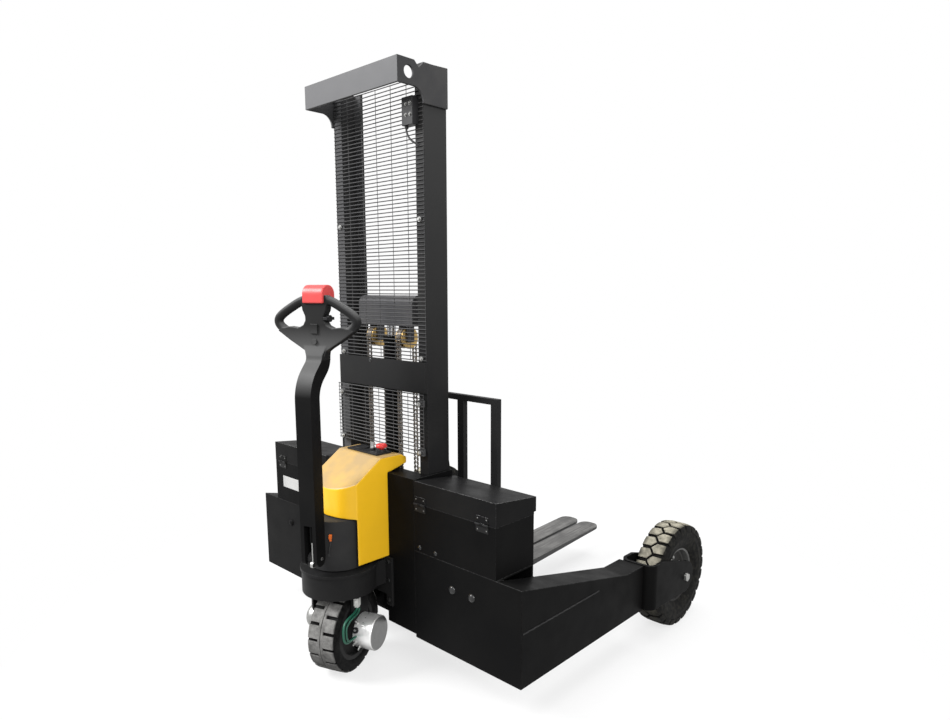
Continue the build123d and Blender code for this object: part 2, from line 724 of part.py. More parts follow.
def lid_hinges():
    """Lower leaves and pins of the four butt hinges."""
    lower = [hinge_leaf(x, upper=False) for x in HINGE_PLACES] + [hinge_pin(x) for x in HINGE_PLACES]
    return group(*lower, *[mirrored(piece) for piece in lower])


def chassis_frame():
    """Welded centre frame: rear plate, side plates, floor, deck and the lower chain anchors."""
    inside = (-MAST_HALF, MAST_HALF)
    frame = block((-CHASSIS_HALF, CHASSIS_HALF), (0, REAR_PLATE), (CHASSIS_BOTTOM, DECK_HEIGHT))
    side = block((MAST_HALF, CHASSIS_HALF), (REAR_PLATE, BOX_DEPTH), (CHASSIS_BOTTOM, DECK_HEIGHT))
    frame += side
    frame += mirrored(side)
    frame += block(inside, (REAR_PLATE, BOX_DEPTH), (CHASSIS_BOTTOM, FLOOR_TOP))
    frame += block(inside, (REAR_PLATE, DECK_DEPTH), (DECK_HEIGHT - DECK_PLATE, DECK_HEIGHT))
    anchor = block(
        (PULLEY_X - CHAIN_ANCHOR_WIDTH / 2, PULLEY_X + CHAIN_ANCHOR_WIDTH / 2),
        (CHAIN_REAR_Y - CHAIN_ANCHOR_DEPTH / 2, CHAIN_REAR_Y + CHAIN_ANCHOR_DEPTH / 2),
        (FLOOR_TOP, FIXED_CHAIN_BOTTOM),
    )
    frame += anchor
    frame += mirrored(anchor)
    frame -= block((-TUNNEL_HALF, TUNNEL_HALF), (0, TUNNEL_DEPTH), (CHASSIS_BOTTOM, TUNNEL_TOP))
    hose_z = hose_height()
    return frame - rod((PUMP_X, 0, hose_z), (PUMP_X, REAR_PLATE, hose_z), HOSE_HOLE_RADIUS)


def mast_channel():
    """Right mast channel, open towards the middle, with the gusset at its foot."""
    web = block((MAST_HALF - MAST_WEB, MAST_HALF), (MAST_REAR, MAST_FRONT), (FLOOR_TOP, MAST_TOP))
    channel = web
    for y in ((MAST_REAR, MAST_REAR + MAST_FLANGE), (MAST_FRONT - MAST_FLANGE, MAST_FRONT)):
        channel += block((MAST_INSIDE, MAST_HALF), y, (FLOOR_TOP, MAST_TOP))
    gusset = side_face([
        (MAST_FRONT, DECK_HEIGHT - MAST_GUSSET_HEIGHT),
        (MAST_FRONT + MAST_GUSSET_DEPTH, DECK_HEIGHT - MAST_GUSSET_HEIGHT),
        (MAST_FRONT, DECK_HEIGHT + MAST_GUSSET_HEIGHT / 2),
    ])
    return channel + across(gusset, MAST_HALF - MAST_WEB, MAST_HALF)


def mast_crown():
    """Bent plate across the mast top, with cheeks outside the channels and a lifting eye in each."""
    rear = block(
        (-CROWN_HALF, CROWN_HALF),
        (CROWN_REAR, CROWN_REAR + CROWN_PLATE),
        (CROWN_TOP - CROWN_HEIGHT, CROWN_TOP),
    )
    bottom = CROWN_TOP - CROWN_CHEEK_HEIGHT
    shelf = CROWN_TOP - CROWN_HEIGHT
    arc_end = MAST_REAR - CROWN_PLATE
    outline = side_face([
        (CROWN_REAR, shelf),
        (CROWN_REAR, CROWN_TOP),
        (CROWN_NOTCH_Y - CROWN_NOTCH_DEPTH, CROWN_TOP),
        (CROWN_NOTCH_Y, CROWN_TOP - CROWN_NOTCH_DEPTH),
        (CROWN_NOTCH_Y + CROWN_NOTCH_DEPTH, CROWN_TOP),
        (MAST_FRONT, MAST_TOP),
        (MAST_FRONT, bottom),
        (arc_end, bottom),
        (arc_end, shelf - CROWN_ARC_RADIUS),
        (arc_end - CROWN_ARC_RADIUS, shelf),
    ])
    outline += Pos(arc_end - CROWN_ARC_RADIUS / 2, shelf - CROWN_ARC_RADIUS / 2) * Rectangle(
        CROWN_ARC_RADIUS, CROWN_ARC_RADIUS
    )
    outline -= Pos(arc_end - CROWN_ARC_RADIUS, shelf - CROWN_ARC_RADIUS) * Circle(CROWN_ARC_RADIUS)
    outline -= Pos(CROWN_EYE_Y, CROWN_TOP - CROWN_EYE_DROP) * Circle(CROWN_EYE_RADIUS)
    cheek = across(outline, MAST_HALF, CROWN_HALF)
    return rear + cheek + mirrored(cheek)


def mast_cross_plate():
    """Plate across the rear flanges with the saddle that steadies the lift cylinder."""
    plate = block(
        (-MAST_HALF, MAST_HALF),
        (MAST_REAR - CROSS_PLATE, MAST_REAR),
        (CROSS_PLATE_BOTTOM, CROSS_PLATE_TOP),
    )
    third = CROSS_PLATE_HEIGHT / 3
    saddle = block(
        (-BARREL_RADIUS, BARREL_RADIUS),
        (MAST_REAR, LIFT_Y),
        (CROSS_PLATE_BOTTOM + third, CROSS_PLATE_TOP - third),
    )
    barrel = rod((0, LIFT_Y, CROSS_PLATE_BOTTOM), (0, LIFT_Y, CROSS_PLATE_TOP), BARREL_RADIUS)
    return plate + (saddle - barrel)


def mesh_face(rows):
    """Flat welded mesh, drawn as (X, Z) from its bottom edge."""
    height = rows * MESH_ROW_PITCH + WIRE
    column_pitch = (2 * MESH_HALF - WIRE) / MESH_COLUMNS
    gap = Rectangle(column_pitch - WIRE, MESH_ROW_PITCH - WIRE)
    gaps = GridLocations(column_pitch, MESH_ROW_PITCH, MESH_COLUMNS, rows) * gap
    return Pos(0, height / 2) * (Rectangle(2 * MESH_HALF, height) - gaps)


def mesh_row(bottom, row):
    """Height of the middle of one row of gaps."""
    return bottom + WIRE / 2 + (row + 0.5) * MESH_ROW_PITCH


def upper_guard_mesh():
    return Pos(0, 0, UPPER_MESH_BOTTOM) * forward(mesh_face(UPPER_MESH_ROWS), MAST_REAR - WIRE, MAST_REAR)


def lower_guard_mesh():
    """Lower mesh with the four tabs that stand it off the mast."""
    mesh = Pos(0, 0, LOWER_MESH_BOTTOM) * forward(
        mesh_face(LOWER_MESH_ROWS), LOWER_MESH_FRONT - WIRE, LOWER_MESH_FRONT
    )
    for row in LOWER_GUARD_ROWS:
        z = mesh_row(LOWER_MESH_BOTTOM, row)
        tab = block(
            (GUARD_BOLT_X - MESH_TAB / 2, GUARD_BOLT_X + MESH_TAB / 2),
            (LOWER_MESH_FRONT, MAST_REAR),
            (z - MESH_TAB / 2, z + MESH_TAB / 2),
        )
        mesh += tab
        mesh += mirrored(tab)
    return mesh


def bolt_head(x, y, z, radius, height):
    """Hexagon head that stands out of a face at Y towards the rear."""
    return Pos(x, y, z) * Rot(90, 0, 0) * extrude(RegularPolygon(radius, 6), height)


def mesh_bolt(seat, z):
    """Bolt and washer that clamp the mesh's wires to a seat at Y."""
    x, back = GUARD_BOLT_X, seat - WIRE
    bolt = rod((x, seat, z), (x, back, z), SMALL_BOLT_SHANK)
    bolt += rod((x, back, z), (x, back - WASHER, z), WASHER_RADIUS)
    return bolt + bolt_head(x, back - WASHER, z, SMALL_BOLT_RADIUS, SMALL_BOLT_HEAD)


def frame_bolts():
    small = (SMALL_BOLT_RADIUS, SMALL_BOLT_HEAD)
    heads = [bolt_head(x, 0, LEG_BOLT_Z, LEG_BOLT_RADIUS, LEG_BOLT_HEAD) for x in LEG_BOLT_X]
    heads += [bolt_head(FLANGE_BOLT_X, -HOUSING_FLANGE, z, *small) for z in FLANGE_BOLT_Z]
    heads += [mesh_bolt(MAST_REAR, mesh_row(UPPER_MESH_BOTTOM, row)) for row in UPPER_GUARD_ROWS]
    heads += [mesh_bolt(LOWER_MESH_FRONT, mesh_row(LOWER_MESH_BOTTOM, row)) for row in LOWER_GUARD_ROWS]
    return group(*heads, *[mirrored(head) for head in heads])


def lift_cylinder():
    """Barrel with its foot, gland and oil port."""
    foot = BARREL_FOOT / 2
    barrel = rod((0, LIFT_Y, FLOOR_TOP), (0, LIFT_Y, BARREL_TOP), BARREL_RADIUS)
    barrel += block(
        (-foot, foot), (LIFT_Y - foot, LIFT_Y + foot), (FLOOR_TOP, FLOOR_TOP + BARREL_FOOT_HEIGHT)
    )
    barrel += rod((0, LIFT_Y, BARREL_TOP), (0, LIFT_Y, GLAND_TOP), GLAND_RADIUS)
    port_z = FLOOR_TOP + PORT_HEIGHT
    barrel += rod((0, LIFT_Y - BARREL_RADIUS - PORT_LENGTH, port_z), (0, LIFT_Y, port_z), PORT_RADIUS)
    barrel -= rod((0, LIFT_Y, FLOOR_TOP + BARREL_FOOT_HEIGHT), (0, LIFT_Y, BARREL_TOP), BARREL_BORE)
    return barrel - rod((0, LIFT_Y, BARREL_TOP), (0, LIFT_Y, GLAND_TOP), ROD_RADIUS + RUN_CLEARANCE)


def lift_rod():
    piston = rod(
        (0, LIFT_Y, PISTON_BOTTOM), (0, LIFT_Y, PISTON_BOTTOM + PISTON_LENGTH), BARREL_BORE - RUN_CLEARANCE
    )
    return piston + rod((0, LIFT_Y, PISTON_BOTTOM), (0, LIFT_Y, CROSSHEAD_BOTTOM), ROD_RADIUS)


def crosshead():
    """Round-topped beam on the rod, with hanger plates and pins for the two pulleys."""
    half = CROSSHEAD_DEPTH / 2
    body = block(
        (-CROSSHEAD_HALF, CROSSHEAD_HALF),
        (LIFT_Y - half, LIFT_Y + half),
        (CROSSHEAD_BOTTOM, CROSSHEAD_BOTTOM + CROSSHEAD_HEIGHT - half),
    )
    body += rod(
        (-CROSSHEAD_HALF, LIFT_Y, CROSSHEAD_BOTTOM + CROSSHEAD_HEIGHT - half),
        (CROSSHEAD_HALF, LIFT_Y, CROSSHEAD_BOTTOM + CROSSHEAD_HEIGHT - half),
        half,
    )
    inner = PULLEY_WIDTH / 2 + MOVE_GAP
    outer = inner + HANGER_PLATE
    hangers = []
    for low, high in ((-outer, -inner), (inner, outer)):
        hangers.append(block(
            (PULLEY_X + low, PULLEY_X + high),
            (LIFT_Y - HANGER_DEPTH / 2, LIFT_Y + HANGER_DEPTH / 2),
            (PULLEY_Z - HANGER_DEPTH / 2, CROSSHEAD_BOTTOM),
        ))
    pin = rod((PULLEY_X - outer, LIFT_Y, PULLEY_Z), (PULLEY_X + outer, LIFT_Y, PULLEY_Z), PULLEY_PIN_RADIUS)
    for piece in (*hangers, pin):
        body += piece
        body += mirrored(piece)
    return body


def chain_pulley():
    flange, groove, half = PULLEY_RADIUS + PULLEY_FLANGE, PULLEY_RADIUS, PULLEY_WIDTH / 2
    channel = CHAIN_WIDTH / 2 + MOVE_GAP
    bore = PULLEY_PIN_RADIUS + RUN_CLEARANCE
    outline = Polyline(
        (-half, bore), (half, bore), (half, flange), (channel, flange), (channel, groove),
        (-channel, groove), (-channel, flange), (-half, flange), close=True,
    )
    return Pos(PULLEY_X, LIFT_Y, PULLEY_Z) * turned(make_face(outline))


def fixed_chain():
    """Right chain from its anchor on the chassis floor up to the pulley."""
    half = CHAIN_THICKNESS / 2
    return block(
        (PULLEY_X - CHAIN_WIDTH / 2, PULLEY_X + CHAIN_WIDTH / 2),
        (CHAIN_REAR_Y - half, CHAIN_REAR_Y + half),
        (FIXED_CHAIN_BOTTOM, PULLEY_Z),
    )


def lifted_chain():
    """Right chain from the pulley down to the carriage."""
    half = CHAIN_THICKNESS / 2
    return block(
        (PULLEY_X - CHAIN_WIDTH / 2, PULLEY_X + CHAIN_WIDTH / 2),
        (CHAIN_FRONT_Y - half, CHAIN_FRONT_Y + half),
        (LIFTED_CHAIN_BOTTOM, PULLEY_Z),
    )


def chain_wrap():
    """The right chain's half turn over its pulley."""
    width = (PULLEY_X - CHAIN_WIDTH / 2, PULLEY_X + CHAIN_WIDTH / 2)
    inner = CHAIN_LINE - CHAIN_THICKNESS / 2
    ring = Circle(inner + CHAIN_THICKNESS) - Circle(inner)
    wrap = across(Pos(LIFT_Y, PULLEY_Z) * ring, *width)
    return wrap & block(width, (0, 2 * LIFT_Y), (PULLEY_Z, PULLEY_Z + 2 * CHAIN_LINE))


def carriage():
    """Welded carriage: two roller plates, a chain tie and the two fork bars."""
    plate = side_face([
        (CARRIAGE_REAR, CARRIAGE_BOTTOM),
        (CARRIAGE_FRONT, CARRIAGE_BOTTOM),
        (CARRIAGE_FRONT, UPPER_BAR_TOP - HOOK_RELIEF),
        (CARRIAGE_FRONT - HOOK_RELIEF, UPPER_BAR_TOP - HOOK_RELIEF),
        (CARRIAGE_FRONT - HOOK_RELIEF, CARRIAGE_TOP),
        (CARRIAGE_REAR, CARRIAGE_TOP),
    ])
    for z in (LOWER_ROLLER_Z, UPPER_ROLLER_Z):
        plate -= Pos(ROLLER_Y, z) * Circle(ROLLER_STUB_RADIUS + RUN_CLEARANCE)
    side = across(plate, CARRIAGE_PLATE_INNER, CARRIAGE_PLATE_OUTER)
    body = side + mirrored(side)
    tie_rear = CARRIAGE_FRONT - CARRIAGE_TIE_DEPTH
    body += block(
        (-CARRIAGE_PLATE_INNER, CARRIAGE_PLATE_INNER),
        (tie_rear, CARRIAGE_FRONT),
        (CARRIAGE_TIE_BOTTOM, LIFTED_CHAIN_BOTTOM),
    )
    lug = block(
        (PULLEY_X - CHAIN_ANCHOR_WIDTH / 2, PULLEY_X + CHAIN_ANCHOR_WIDTH / 2),
        (CHAIN_FRONT_Y - CHAIN_ANCHOR_DEPTH / 2, tie_rear),
        (CARRIAGE_TIE_BOTTOM, LIFTED_CHAIN_BOTTOM),
    )
    body += lug
    body += mirrored(lug)
    for bottom in (LOWER_BAR_BOTTOM, UPPER_BAR_BOTTOM):
        body += block(
            (-FORK_BAR_HALF, FORK_BAR_HALF), (CARRIAGE_FRONT, BAR_FRONT), (bottom, bottom + FORK_BAR_HEIGHT)
        )
    return body


def roller_pair(z):
    """The two mast rollers at one height, each with its stub in the carriage plate."""
    roller = rod((ROLLER_INNER, ROLLER_Y, z), (ROLLER_OUTER, ROLLER_Y, z), ROLLER_RADIUS)
    roller += rod((CARRIAGE_PLATE_INNER, ROLLER_Y, z), (ROLLER_INNER, ROLLER_Y, z), ROLLER_STUB_RADIUS)
    return pair(roller)


def load_backrest():
    """Upright frame that stands on the ends of the upper fork bar."""
    y = (CARRIAGE_FRONT, CARRIAGE_FRONT + BACKREST_DEPTH)
    rail_bottom = HOOK_TOP + BACKREST_RAIL_GAP
    width = (-FORK_BAR_HALF, FORK_BAR_HALF)
    frame = block(width, y, (BACKREST_TOP - BACKREST_BAR, BACKREST_TOP))
    frame += block(width, y, (rail_bottom, rail_bottom + BACKREST_BAR))
    half = BACKREST_POST / 2
    posts = [(x, rail_bottom) for x in BACKREST_INNER_POSTS] + [(FORK_BAR_HALF - half, UPPER_BAR_TOP)]
    for x, bottom in posts:
        post = block((x - half, x + half), y, (bottom, BACKREST_TOP))
        frame += post
        frame += mirrored(post)
    return frame


def fork():
    """Right fork: hooked shank and a blade that rises slightly and thins towards a rounded tip."""
    inner = FORK_MIDDLE_GAP / 2
    outer = inner + FORK_WIDTH
    lip_front = CARRIAGE_FRONT - SEAT_GAP
    lip_rear = lip_front - FORK_HOOK_LIP
    hook_bottom = UPPER_BAR_TOP + SEAT_GAP
    heel_bottom = FORK_HEEL_TOP - FORK_HEEL_DEPTH
    profile = side_face([
        (SHANK_REAR, heel_bottom),
        (SHANK_FRONT, heel_bottom),
        (FORK_TIP_Y, FORK_TIP_TOP - FORK_TIP_DEPTH),
        (FORK_TIP_Y, FORK_TIP_TOP),
        (SHANK_FRONT, FORK_HEEL_TOP),
        (SHANK_FRONT, HOOK_TOP),
        (lip_rear, HOOK_TOP),
        (lip_rear, hook_bottom - FORK_HOOK_DROP),
        (lip_front, hook_bottom - FORK_HOOK_DROP),
        (lip_front, hook_bottom),
        (SHANK_REAR, hook_bottom),
    ])
    heel = profile.vertices().sort_by_distance((SHANK_FRONT, FORK_HEEL_TOP, 0))[0]
    profile = fillet(heel, FORK_HEEL_FILLET)
    middle = Pos((inner + outer) / 2, (lip_rear + FORK_TIP_Y) / 2)
    plan = middle * Rectangle(FORK_WIDTH, FORK_TIP_Y - lip_rear)
    plan = fillet(plan.vertices().sort_by(Axis.Y)[-2:], FORK_TIP_RADIUS)
    return across(profile, inner, outer) & upward(plan, 0, 2 * HOOK_TOP)


def steering_housing():
    """Round skirt above the drive wheel, with its neck and bolted flange on the rear plate."""
    drum = Pos(0, STEER_Y) * Circle(HOUSING_RADIUS)
    neck = Pos(0, (STEER_Y - HOUSING_FLANGE) / 2) * Rectangle(
        2 * HOUSING_NECK_HALF, -HOUSING_FLANGE - STEER_Y
    )
    inside = Pos(0, STEER_Y) * Circle(HOUSING_RADIUS - HOUSING_WALL)
    body = upward(drum + neck, HOUSING_BOTTOM, HOUSING_TOP_Z) - upward(inside, HOUSING_BOTTOM, BEARING_TOP)
    lip = HOUSING_RADIUS + HOUSING_LIP
    body += upward(Pos(0, STEER_Y) * Circle(lip), BEARING_TOP, HOUSING_TOP_Z)
    body -= block((-lip, lip), (0, lip), (HOUSING_BOTTOM, HOUSING_TOP_Z))
    body += block(
        (-HOUSING_FLANGE_HALF, HOUSING_FLANGE_HALF),
        (-HOUSING_FLANGE, 0),
        (HOUSING_FLANGE_BOTTOM, HOUSING_FLANGE_TOP),
    )
    bore = Pos(0, STEER_Y) * Circle(COLUMN_RADIUS + RUN_CLEARANCE)
    body -= block(
        (-HOUSING_NOTCH_HALF, HOUSING_NOTCH_HALF), (-HOUSING_FLANGE, 0), (HOUSING_FLANGE_BOTTOM, TUNNEL_TOP)
    )
    return body - upward(bore, HOUSING_BOTTOM, HOUSING_TOP_Z)


def steering_bearing():
    ring = Pos(0, STEER_Y) * (Circle(BEARING_OUTER) - Circle(BEARING_INNER))
    return upward(ring, BEARING_TOP - BEARING_HEIGHT, BEARING_TOP)


def steered(shape):
    """Place a piece of the steered unit, drawn straight about the column, at the rest angle."""
    return Pos(0, STEER_Y, 0) * Rot(0, 0, REST_STEER) * shape


def steering_head():
    """Round column head with its shaft, the tilt lug and the gas spring stud."""
    body = rod((0, 0, HEAD_BOTTOM), (0, 0, HEAD_TOP), HEAD_RADIUS)
    body += rod((0, 0, TURNTABLE_TOP), (0, 0, HEAD_BOTTOM), COLUMN_RADIUS)
    round_end = ARM_FOOT_RADIUS - ARM_WALL
    root = -HEAD_RADIUS / 2
    profile = Pos((PIVOT_Y + root) / 2, PIVOT_Z) * Rectangle(root - PIVOT_Y, 2 * round_end)
    profile += Pos(PIVOT_Y, PIVOT_Z) * Circle(round_end)
    profile += Pos(STUD_Y, STUD_Z) * Circle(2 * STUD_BALL_RADIUS)
    profile -= Pos(PIVOT_Y, PIVOT_Z) * Circle(PIVOT_RADIUS + RUN_CLEARANCE)
    body += across(profile, -LUG_WIDTH, 0)
    body += rod((0, STUD_Y, STUD_Z), (SPRING_X, STUD_Y, STUD_Z), STUD_PIN_RADIUS)
    body += Pos(SPRING_X, STUD_Y, STUD_Z) * Sphere(STUD_BALL_RADIUS)
    return steered(body)


def drive_bracket():
    """Turntable with two arms that straddle the wheel, the left one round-backed, and the fixed axle."""
    body = rod((0, 0, TURNTABLE_BOTTOM), (0, 0, TURNTABLE_TOP), TURNTABLE_RADIUS)
    half = BRACKET_ARM_DEPTH / 2
    profile = side_face([
        (-half, TURNTABLE_BOTTOM),
        (half, TURNTABLE_BOTTOM),
        (half, DRIVE_RADIUS),
        (-half, DRIVE_RADIUS),
    ]) + Pos(0, DRIVE_RADIUS) * Circle(half)
    for x in (LEFT_ARM_OUTER, RIGHT_ARM_INNER):
        body += across(profile, x, x + BRACKET_ARM)
    width = BRACKET_BACK_RADIUS + LEFT_ARM_OUTER
    back = Pos(width / 2 - BRACKET_BACK_RADIUS, 0) * Rectangle(width, 2 * BRACKET_BACK_RADIUS)
    body += upward(back & Circle(BRACKET_BACK_RADIUS), BRACKET_BACK_BOTTOM, TURNTABLE_BOTTOM)
    axle = (DRIVE_HUB_BORE - RUN_CLEARANCE)
    body += rod((LEFT_ARM_INNER, 0, DRIVE_RADIUS), (RIGHT_ARM_INNER, 0, DRIVE_RADIUS), axle)
    return steered(body)


def drive_motor():
    """Motor can on the right arm, chamfered at its outer end."""
    start, end = (RIGHT_ARM_OUTER, 0, DRIVE_RADIUS), (RIGHT_ARM_OUTER + MOTOR_LENGTH, 0, DRIVE_RADIUS)
    can = rod(start, end, MOTOR_RADIUS)
    return steered(chamfer(can.edges().sort_by(Axis.X)[-1], MOTOR_CHAMFER))


def drive_brake():
    """Domed wheel brake on the left arm."""
    start, z = LEFT_ARM_OUTER, DRIVE_RADIUS + BRAKE_RISE
    can = rod((start - BRAKE_LENGTH, 0, z), (start, 0, z), BRAKE_RADIUS)
    return steered(fillet(can.edges().sort_by(Axis.X)[0], BRAKE_ROUND))


def motor_lead():
    """Motor lead in a loop from the can up to its plug on the bracket arm."""
    side = PLUG_SIZE / 2
    plug_x, plug_y = RIGHT_ARM_OUTER + side, side - BRACKET_ARM_DEPTH / 2
    plug_top = HOUSING_BOTTOM - PLUG_DROP
    plug_bottom = plug_top - PLUG_LENGTH
    plug = block(
        (plug_x - side, plug_x + side), (plug_y - side, plug_y + side), (plug_bottom, plug_top)
    )
    hang_y = plug_y - LEAD_REACH
    route = FilletPolyline(
        (plug_x, plug_y, plug_bottom),
        (plug_x, plug_y, plug_bottom - LEAD_DROP),
        (plug_x, hang_y, plug_bottom - LEAD_HANG),
        (plug_x, hang_y, DRIVE_RADIUS),
        (plug_x, -MOTOR_RADIUS, DRIVE_RADIUS),
        radius=LEAD_BEND,
    )
    cable = sweep(Plane(origin=route @ 0, z_dir=route % 0) * Circle(LEAD_RADIUS), path=route)
    return steered(group(plug, cable))


def drive_tyre():
    body = tyre(
        DRIVE_RADIUS, DRIVE_WIDTH, DRIVE_WIDTH - DRIVE_SHOULDER, DRIVE_WIDTH - DRIVE_SHOULDER,
        DRIVE_TYRE_BORE, DRIVE_SHOULDER,
    )
    return steered(Pos(DRIVE_OFFSET, 0, DRIVE_RADIUS) * body)


def drive_hub():
    """Cast wheel centre, dished on both sides, with a boss that runs on the fixed axle."""
    half = DRIVE_WIDTH / 2 - DRIVE_SHOULDER / 2
    web = half - DRIVE_RECESS

    def disc(left, right, radius):
        return rod((left, 0, DRIVE_RADIUS), (right, 0, DRIVE_RADIUS), radius)

    barrel = disc(DRIVE_OFFSET - half, DRIVE_OFFSET + half, DRIVE_TYRE_BORE)
    barrel -= disc(DRIVE_OFFSET - half, DRIVE_OFFSET - web, DRIVE_TYRE_BORE - DRIVE_RIM_WALL)
    barrel -= disc(DRIVE_OFFSET + web, DRIVE_OFFSET + half, DRIVE_TYRE_BORE - DRIVE_RIM_WALL)
    boss = LEFT_ARM_INNER + MOVE_GAP, RIGHT_ARM_INNER - MOVE_GAP
    return steered(barrel + disc(*boss, BRAKE_RADIUS) - disc(*boss, DRIVE_HUB_BORE))


def cover_plan(inset):
    """Plan of the drive cover: straight sides and a convex rear face."""
    half = COVER_HALF - inset
    front = COVER_FRONT - inset
    outline = Curve() + [
        Line((half, COVER_SIDE_REAR), (half, front)),
        Line((half, front), (-half, front)),
        Line((-half, front), (-half, COVER_SIDE_REAR)),
        ThreePointArc((-half, COVER_SIDE_REAR), (0, COVER_NOSE + inset), (half, COVER_SIDE_REAR)),
    ]
    return make_face(outline)


def drive_cover():
    """Moulded shell over the power pack, cut away at the rear for the steering head."""
    lap = DECK_HEIGHT + SEAT_GAP
    outer = side_face([
        (COVER_NOSE, COVER_BOTTOM),
        (COVER_NOSE, COVER_BREAK),
        (COVER_FLAT_REAR, COVER_TOP),
        (COVER_FLAT_FRONT, COVER_TOP),
        (COVER_FRONT, COVER_FRONT_TOP),
        (COVER_FRONT, COVER_FRONT_BOTTOM),
        (REAR_PLATE, lap),
        (0, lap),
        (0, COVER_BOTTOM),
    ])
    wall = COVER_WALL
    inner = side_face([
        (COVER_NOSE + wall, COVER_BOTTOM),
        (COVER_NOSE + wall, COVER_BREAK - wall / 2),
        (COVER_FLAT_REAR + wall / 2, COVER_TOP - wall),
        (COVER_FLAT_FRONT - wall / 2, COVER_TOP - wall),
        (COVER_FRONT - wall, COVER_FRONT_TOP - wall),
        (COVER_FRONT - wall, DECK_HEIGHT),
        (0, DECK_HEIGHT),
        (0, COVER_BOTTOM),
    ])
    shell = upward(cover_plan(0), COVER_BOTTOM, COVER_TOP) & across(outer, -COVER_HALF, COVER_HALF)
    shell -= upward(cover_plan(wall), COVER_BOTTOM, COVER_TOP) & across(inner, -COVER_HALF, COVER_HALF)
    cut_away = block(
        (-COVER_HALF, COVER_HALF), (COVER_NOSE, COVER_SIDE_REAR), (COVER_BOTTOM, COVER_SILL)
    )
    return shell - cut_away


def control_panel():
    """Panel plate with the gauge bezel, the key barrel and the emergency stop's seat."""
    body = block((-PANEL_HALF, PANEL_HALF), (PANEL_REAR, PANEL_FRONT), (COVER_TOP, PANEL_TOP))
    body += rod((STOP_X, STOP_Y, PANEL_TOP), (STOP_X, STOP_Y, BEZEL_TOP), STOP_BEZEL_RADIUS)
    body += rod((KEY_X, KEY_Y, PANEL_TOP), (KEY_X, KEY_Y, KEY_BARREL_TOP), KEY_BARREL_RADIUS)
    body += rod((GAUGE_X, GAUGE_Y, PANEL_TOP), (GAUGE_X, GAUGE_Y, PANEL_TOP + GAUGE_HEIGHT), GAUGE_RADIUS)
    seat = rod(
        (STOP_X, STOP_Y, PANEL_TOP), (STOP_X, STOP_Y, BEZEL_TOP), STOP_STEM_RADIUS + RUN_CLEARANCE
    )
    return body - seat


def emergency_stop():
    stem_bottom = PANEL_TOP + STOP_TRAVEL + MOVE_GAP
    head_top = STOP_HEAD_BOTTOM + STOP_HEIGHT
    head = rod((STOP_X, STOP_Y, STOP_HEAD_BOTTOM), (STOP_X, STOP_Y, head_top), STOP_RADIUS)
    head = fillet(head.edges().sort_by(Axis.Z)[-1], STOP_HEIGHT / 2)
    return head + rod((STOP_X, STOP_Y, stem_bottom), (STOP_X, STOP_Y, STOP_HEAD_BOTTOM), STOP_STEM_RADIUS)


def key():
    bottom = KEY_BARREL_TOP + SEAT_GAP
    top = bottom + KEY_COLLAR
    collar = rod((KEY_X, KEY_Y, bottom), (KEY_X, KEY_Y, top), KEY_COLLAR_RADIUS)
    bow = block(
        (KEY_X - KEY_BOW / 2, KEY_X + KEY_BOW / 2),
        (KEY_Y - KEY_BLADE / 2, KEY_Y + KEY_BLADE / 2),
        (top, top + KEY_BOW),
    )
    return collar + bow


def hose_height():
    return PACK_BOTTOM + HOSE_RISE


def power_pack():
    """Oil tank and pump motor on the rear plate, under the drive cover."""
    tank_top = DECK_HEIGHT - TANK_DROP
    pump_top = DECK_HEIGHT - PUMP_DROP
    pump_y = -PUMP_RADIUS - PUMP_FOOT
    body = block((TANK_LEFT, TANK_RIGHT), (-TANK_DEPTH, 0), (PACK_BOTTOM, tank_top))
    body += rod((PUMP_X, pump_y, PACK_BOTTOM), (PUMP_X, pump_y, pump_top), PUMP_RADIUS)
    valve_top = hose_height() + HOSE_RISE
    return body + block((TANK_RIGHT, PUMP_X + PUMP_FOOT), (pump_y, 0), (PACK_BOTTOM, valve_top))


def motor_controller():
    """Finned controller on the front of the rear plate."""
    top = CONTROLLER_BOTTOM + CONTROLLER_HEIGHT
    front = REAR_PLATE + CONTROLLER_DEPTH
    width = (CONTROLLER_LEFT, CONTROLLER_RIGHT)
    body = block(width, (REAR_PLATE, front - CONTROLLER_FIN_DEPTH), (CONTROLLER_BOTTOM, top))
    pitch = CONTROLLER_HEIGHT / (CONTROLLER_FINS - 0.5)
    for number in range(CONTROLLER_FINS):
        z = CONTROLLER_BOTTOM + number * pitch
        body += block(width, (front - CONTROLLER_FIN_DEPTH, front), (z, z + pitch / 2))
    return body


def hydraulic_hose():
    """Pressure hose from the pump through the rear plate to the cylinder's port."""
    top, port_z = hose_height(), FLOOR_TOP + PORT_HEIGHT
    route = FilletPolyline(
        (PUMP_X, 0, top),
        (PUMP_X, HOSE_Y, top),
        (PUMP_X, HOSE_Y, port_z + PUMP_X),
        (0, HOSE_Y, port_z),
        (0, LIFT_Y - BARREL_RADIUS - PORT_LENGTH, port_z),
        radius=[HOSE_BEND, HOSE_BEND, HOSE_BEND / 2],
    )
    return sweep(Plane(origin=route @ 0, z_dir=route % 0) * Circle(HOSE_RADIUS), path=route)


def limit_switch():
    """Switch block bolted over the upper mesh at the right channel."""
    front = MAST_REAR - WIRE
    return block(
        (SWITCH_X - SWITCH_WIDTH / 2, SWITCH_X + SWITCH_WIDTH / 2),
        (front - SWITCH_DEPTH, front),
        (SWITCH_BOTTOM, SWITCH_BOTTOM + SWITCH_HEIGHT),
    )


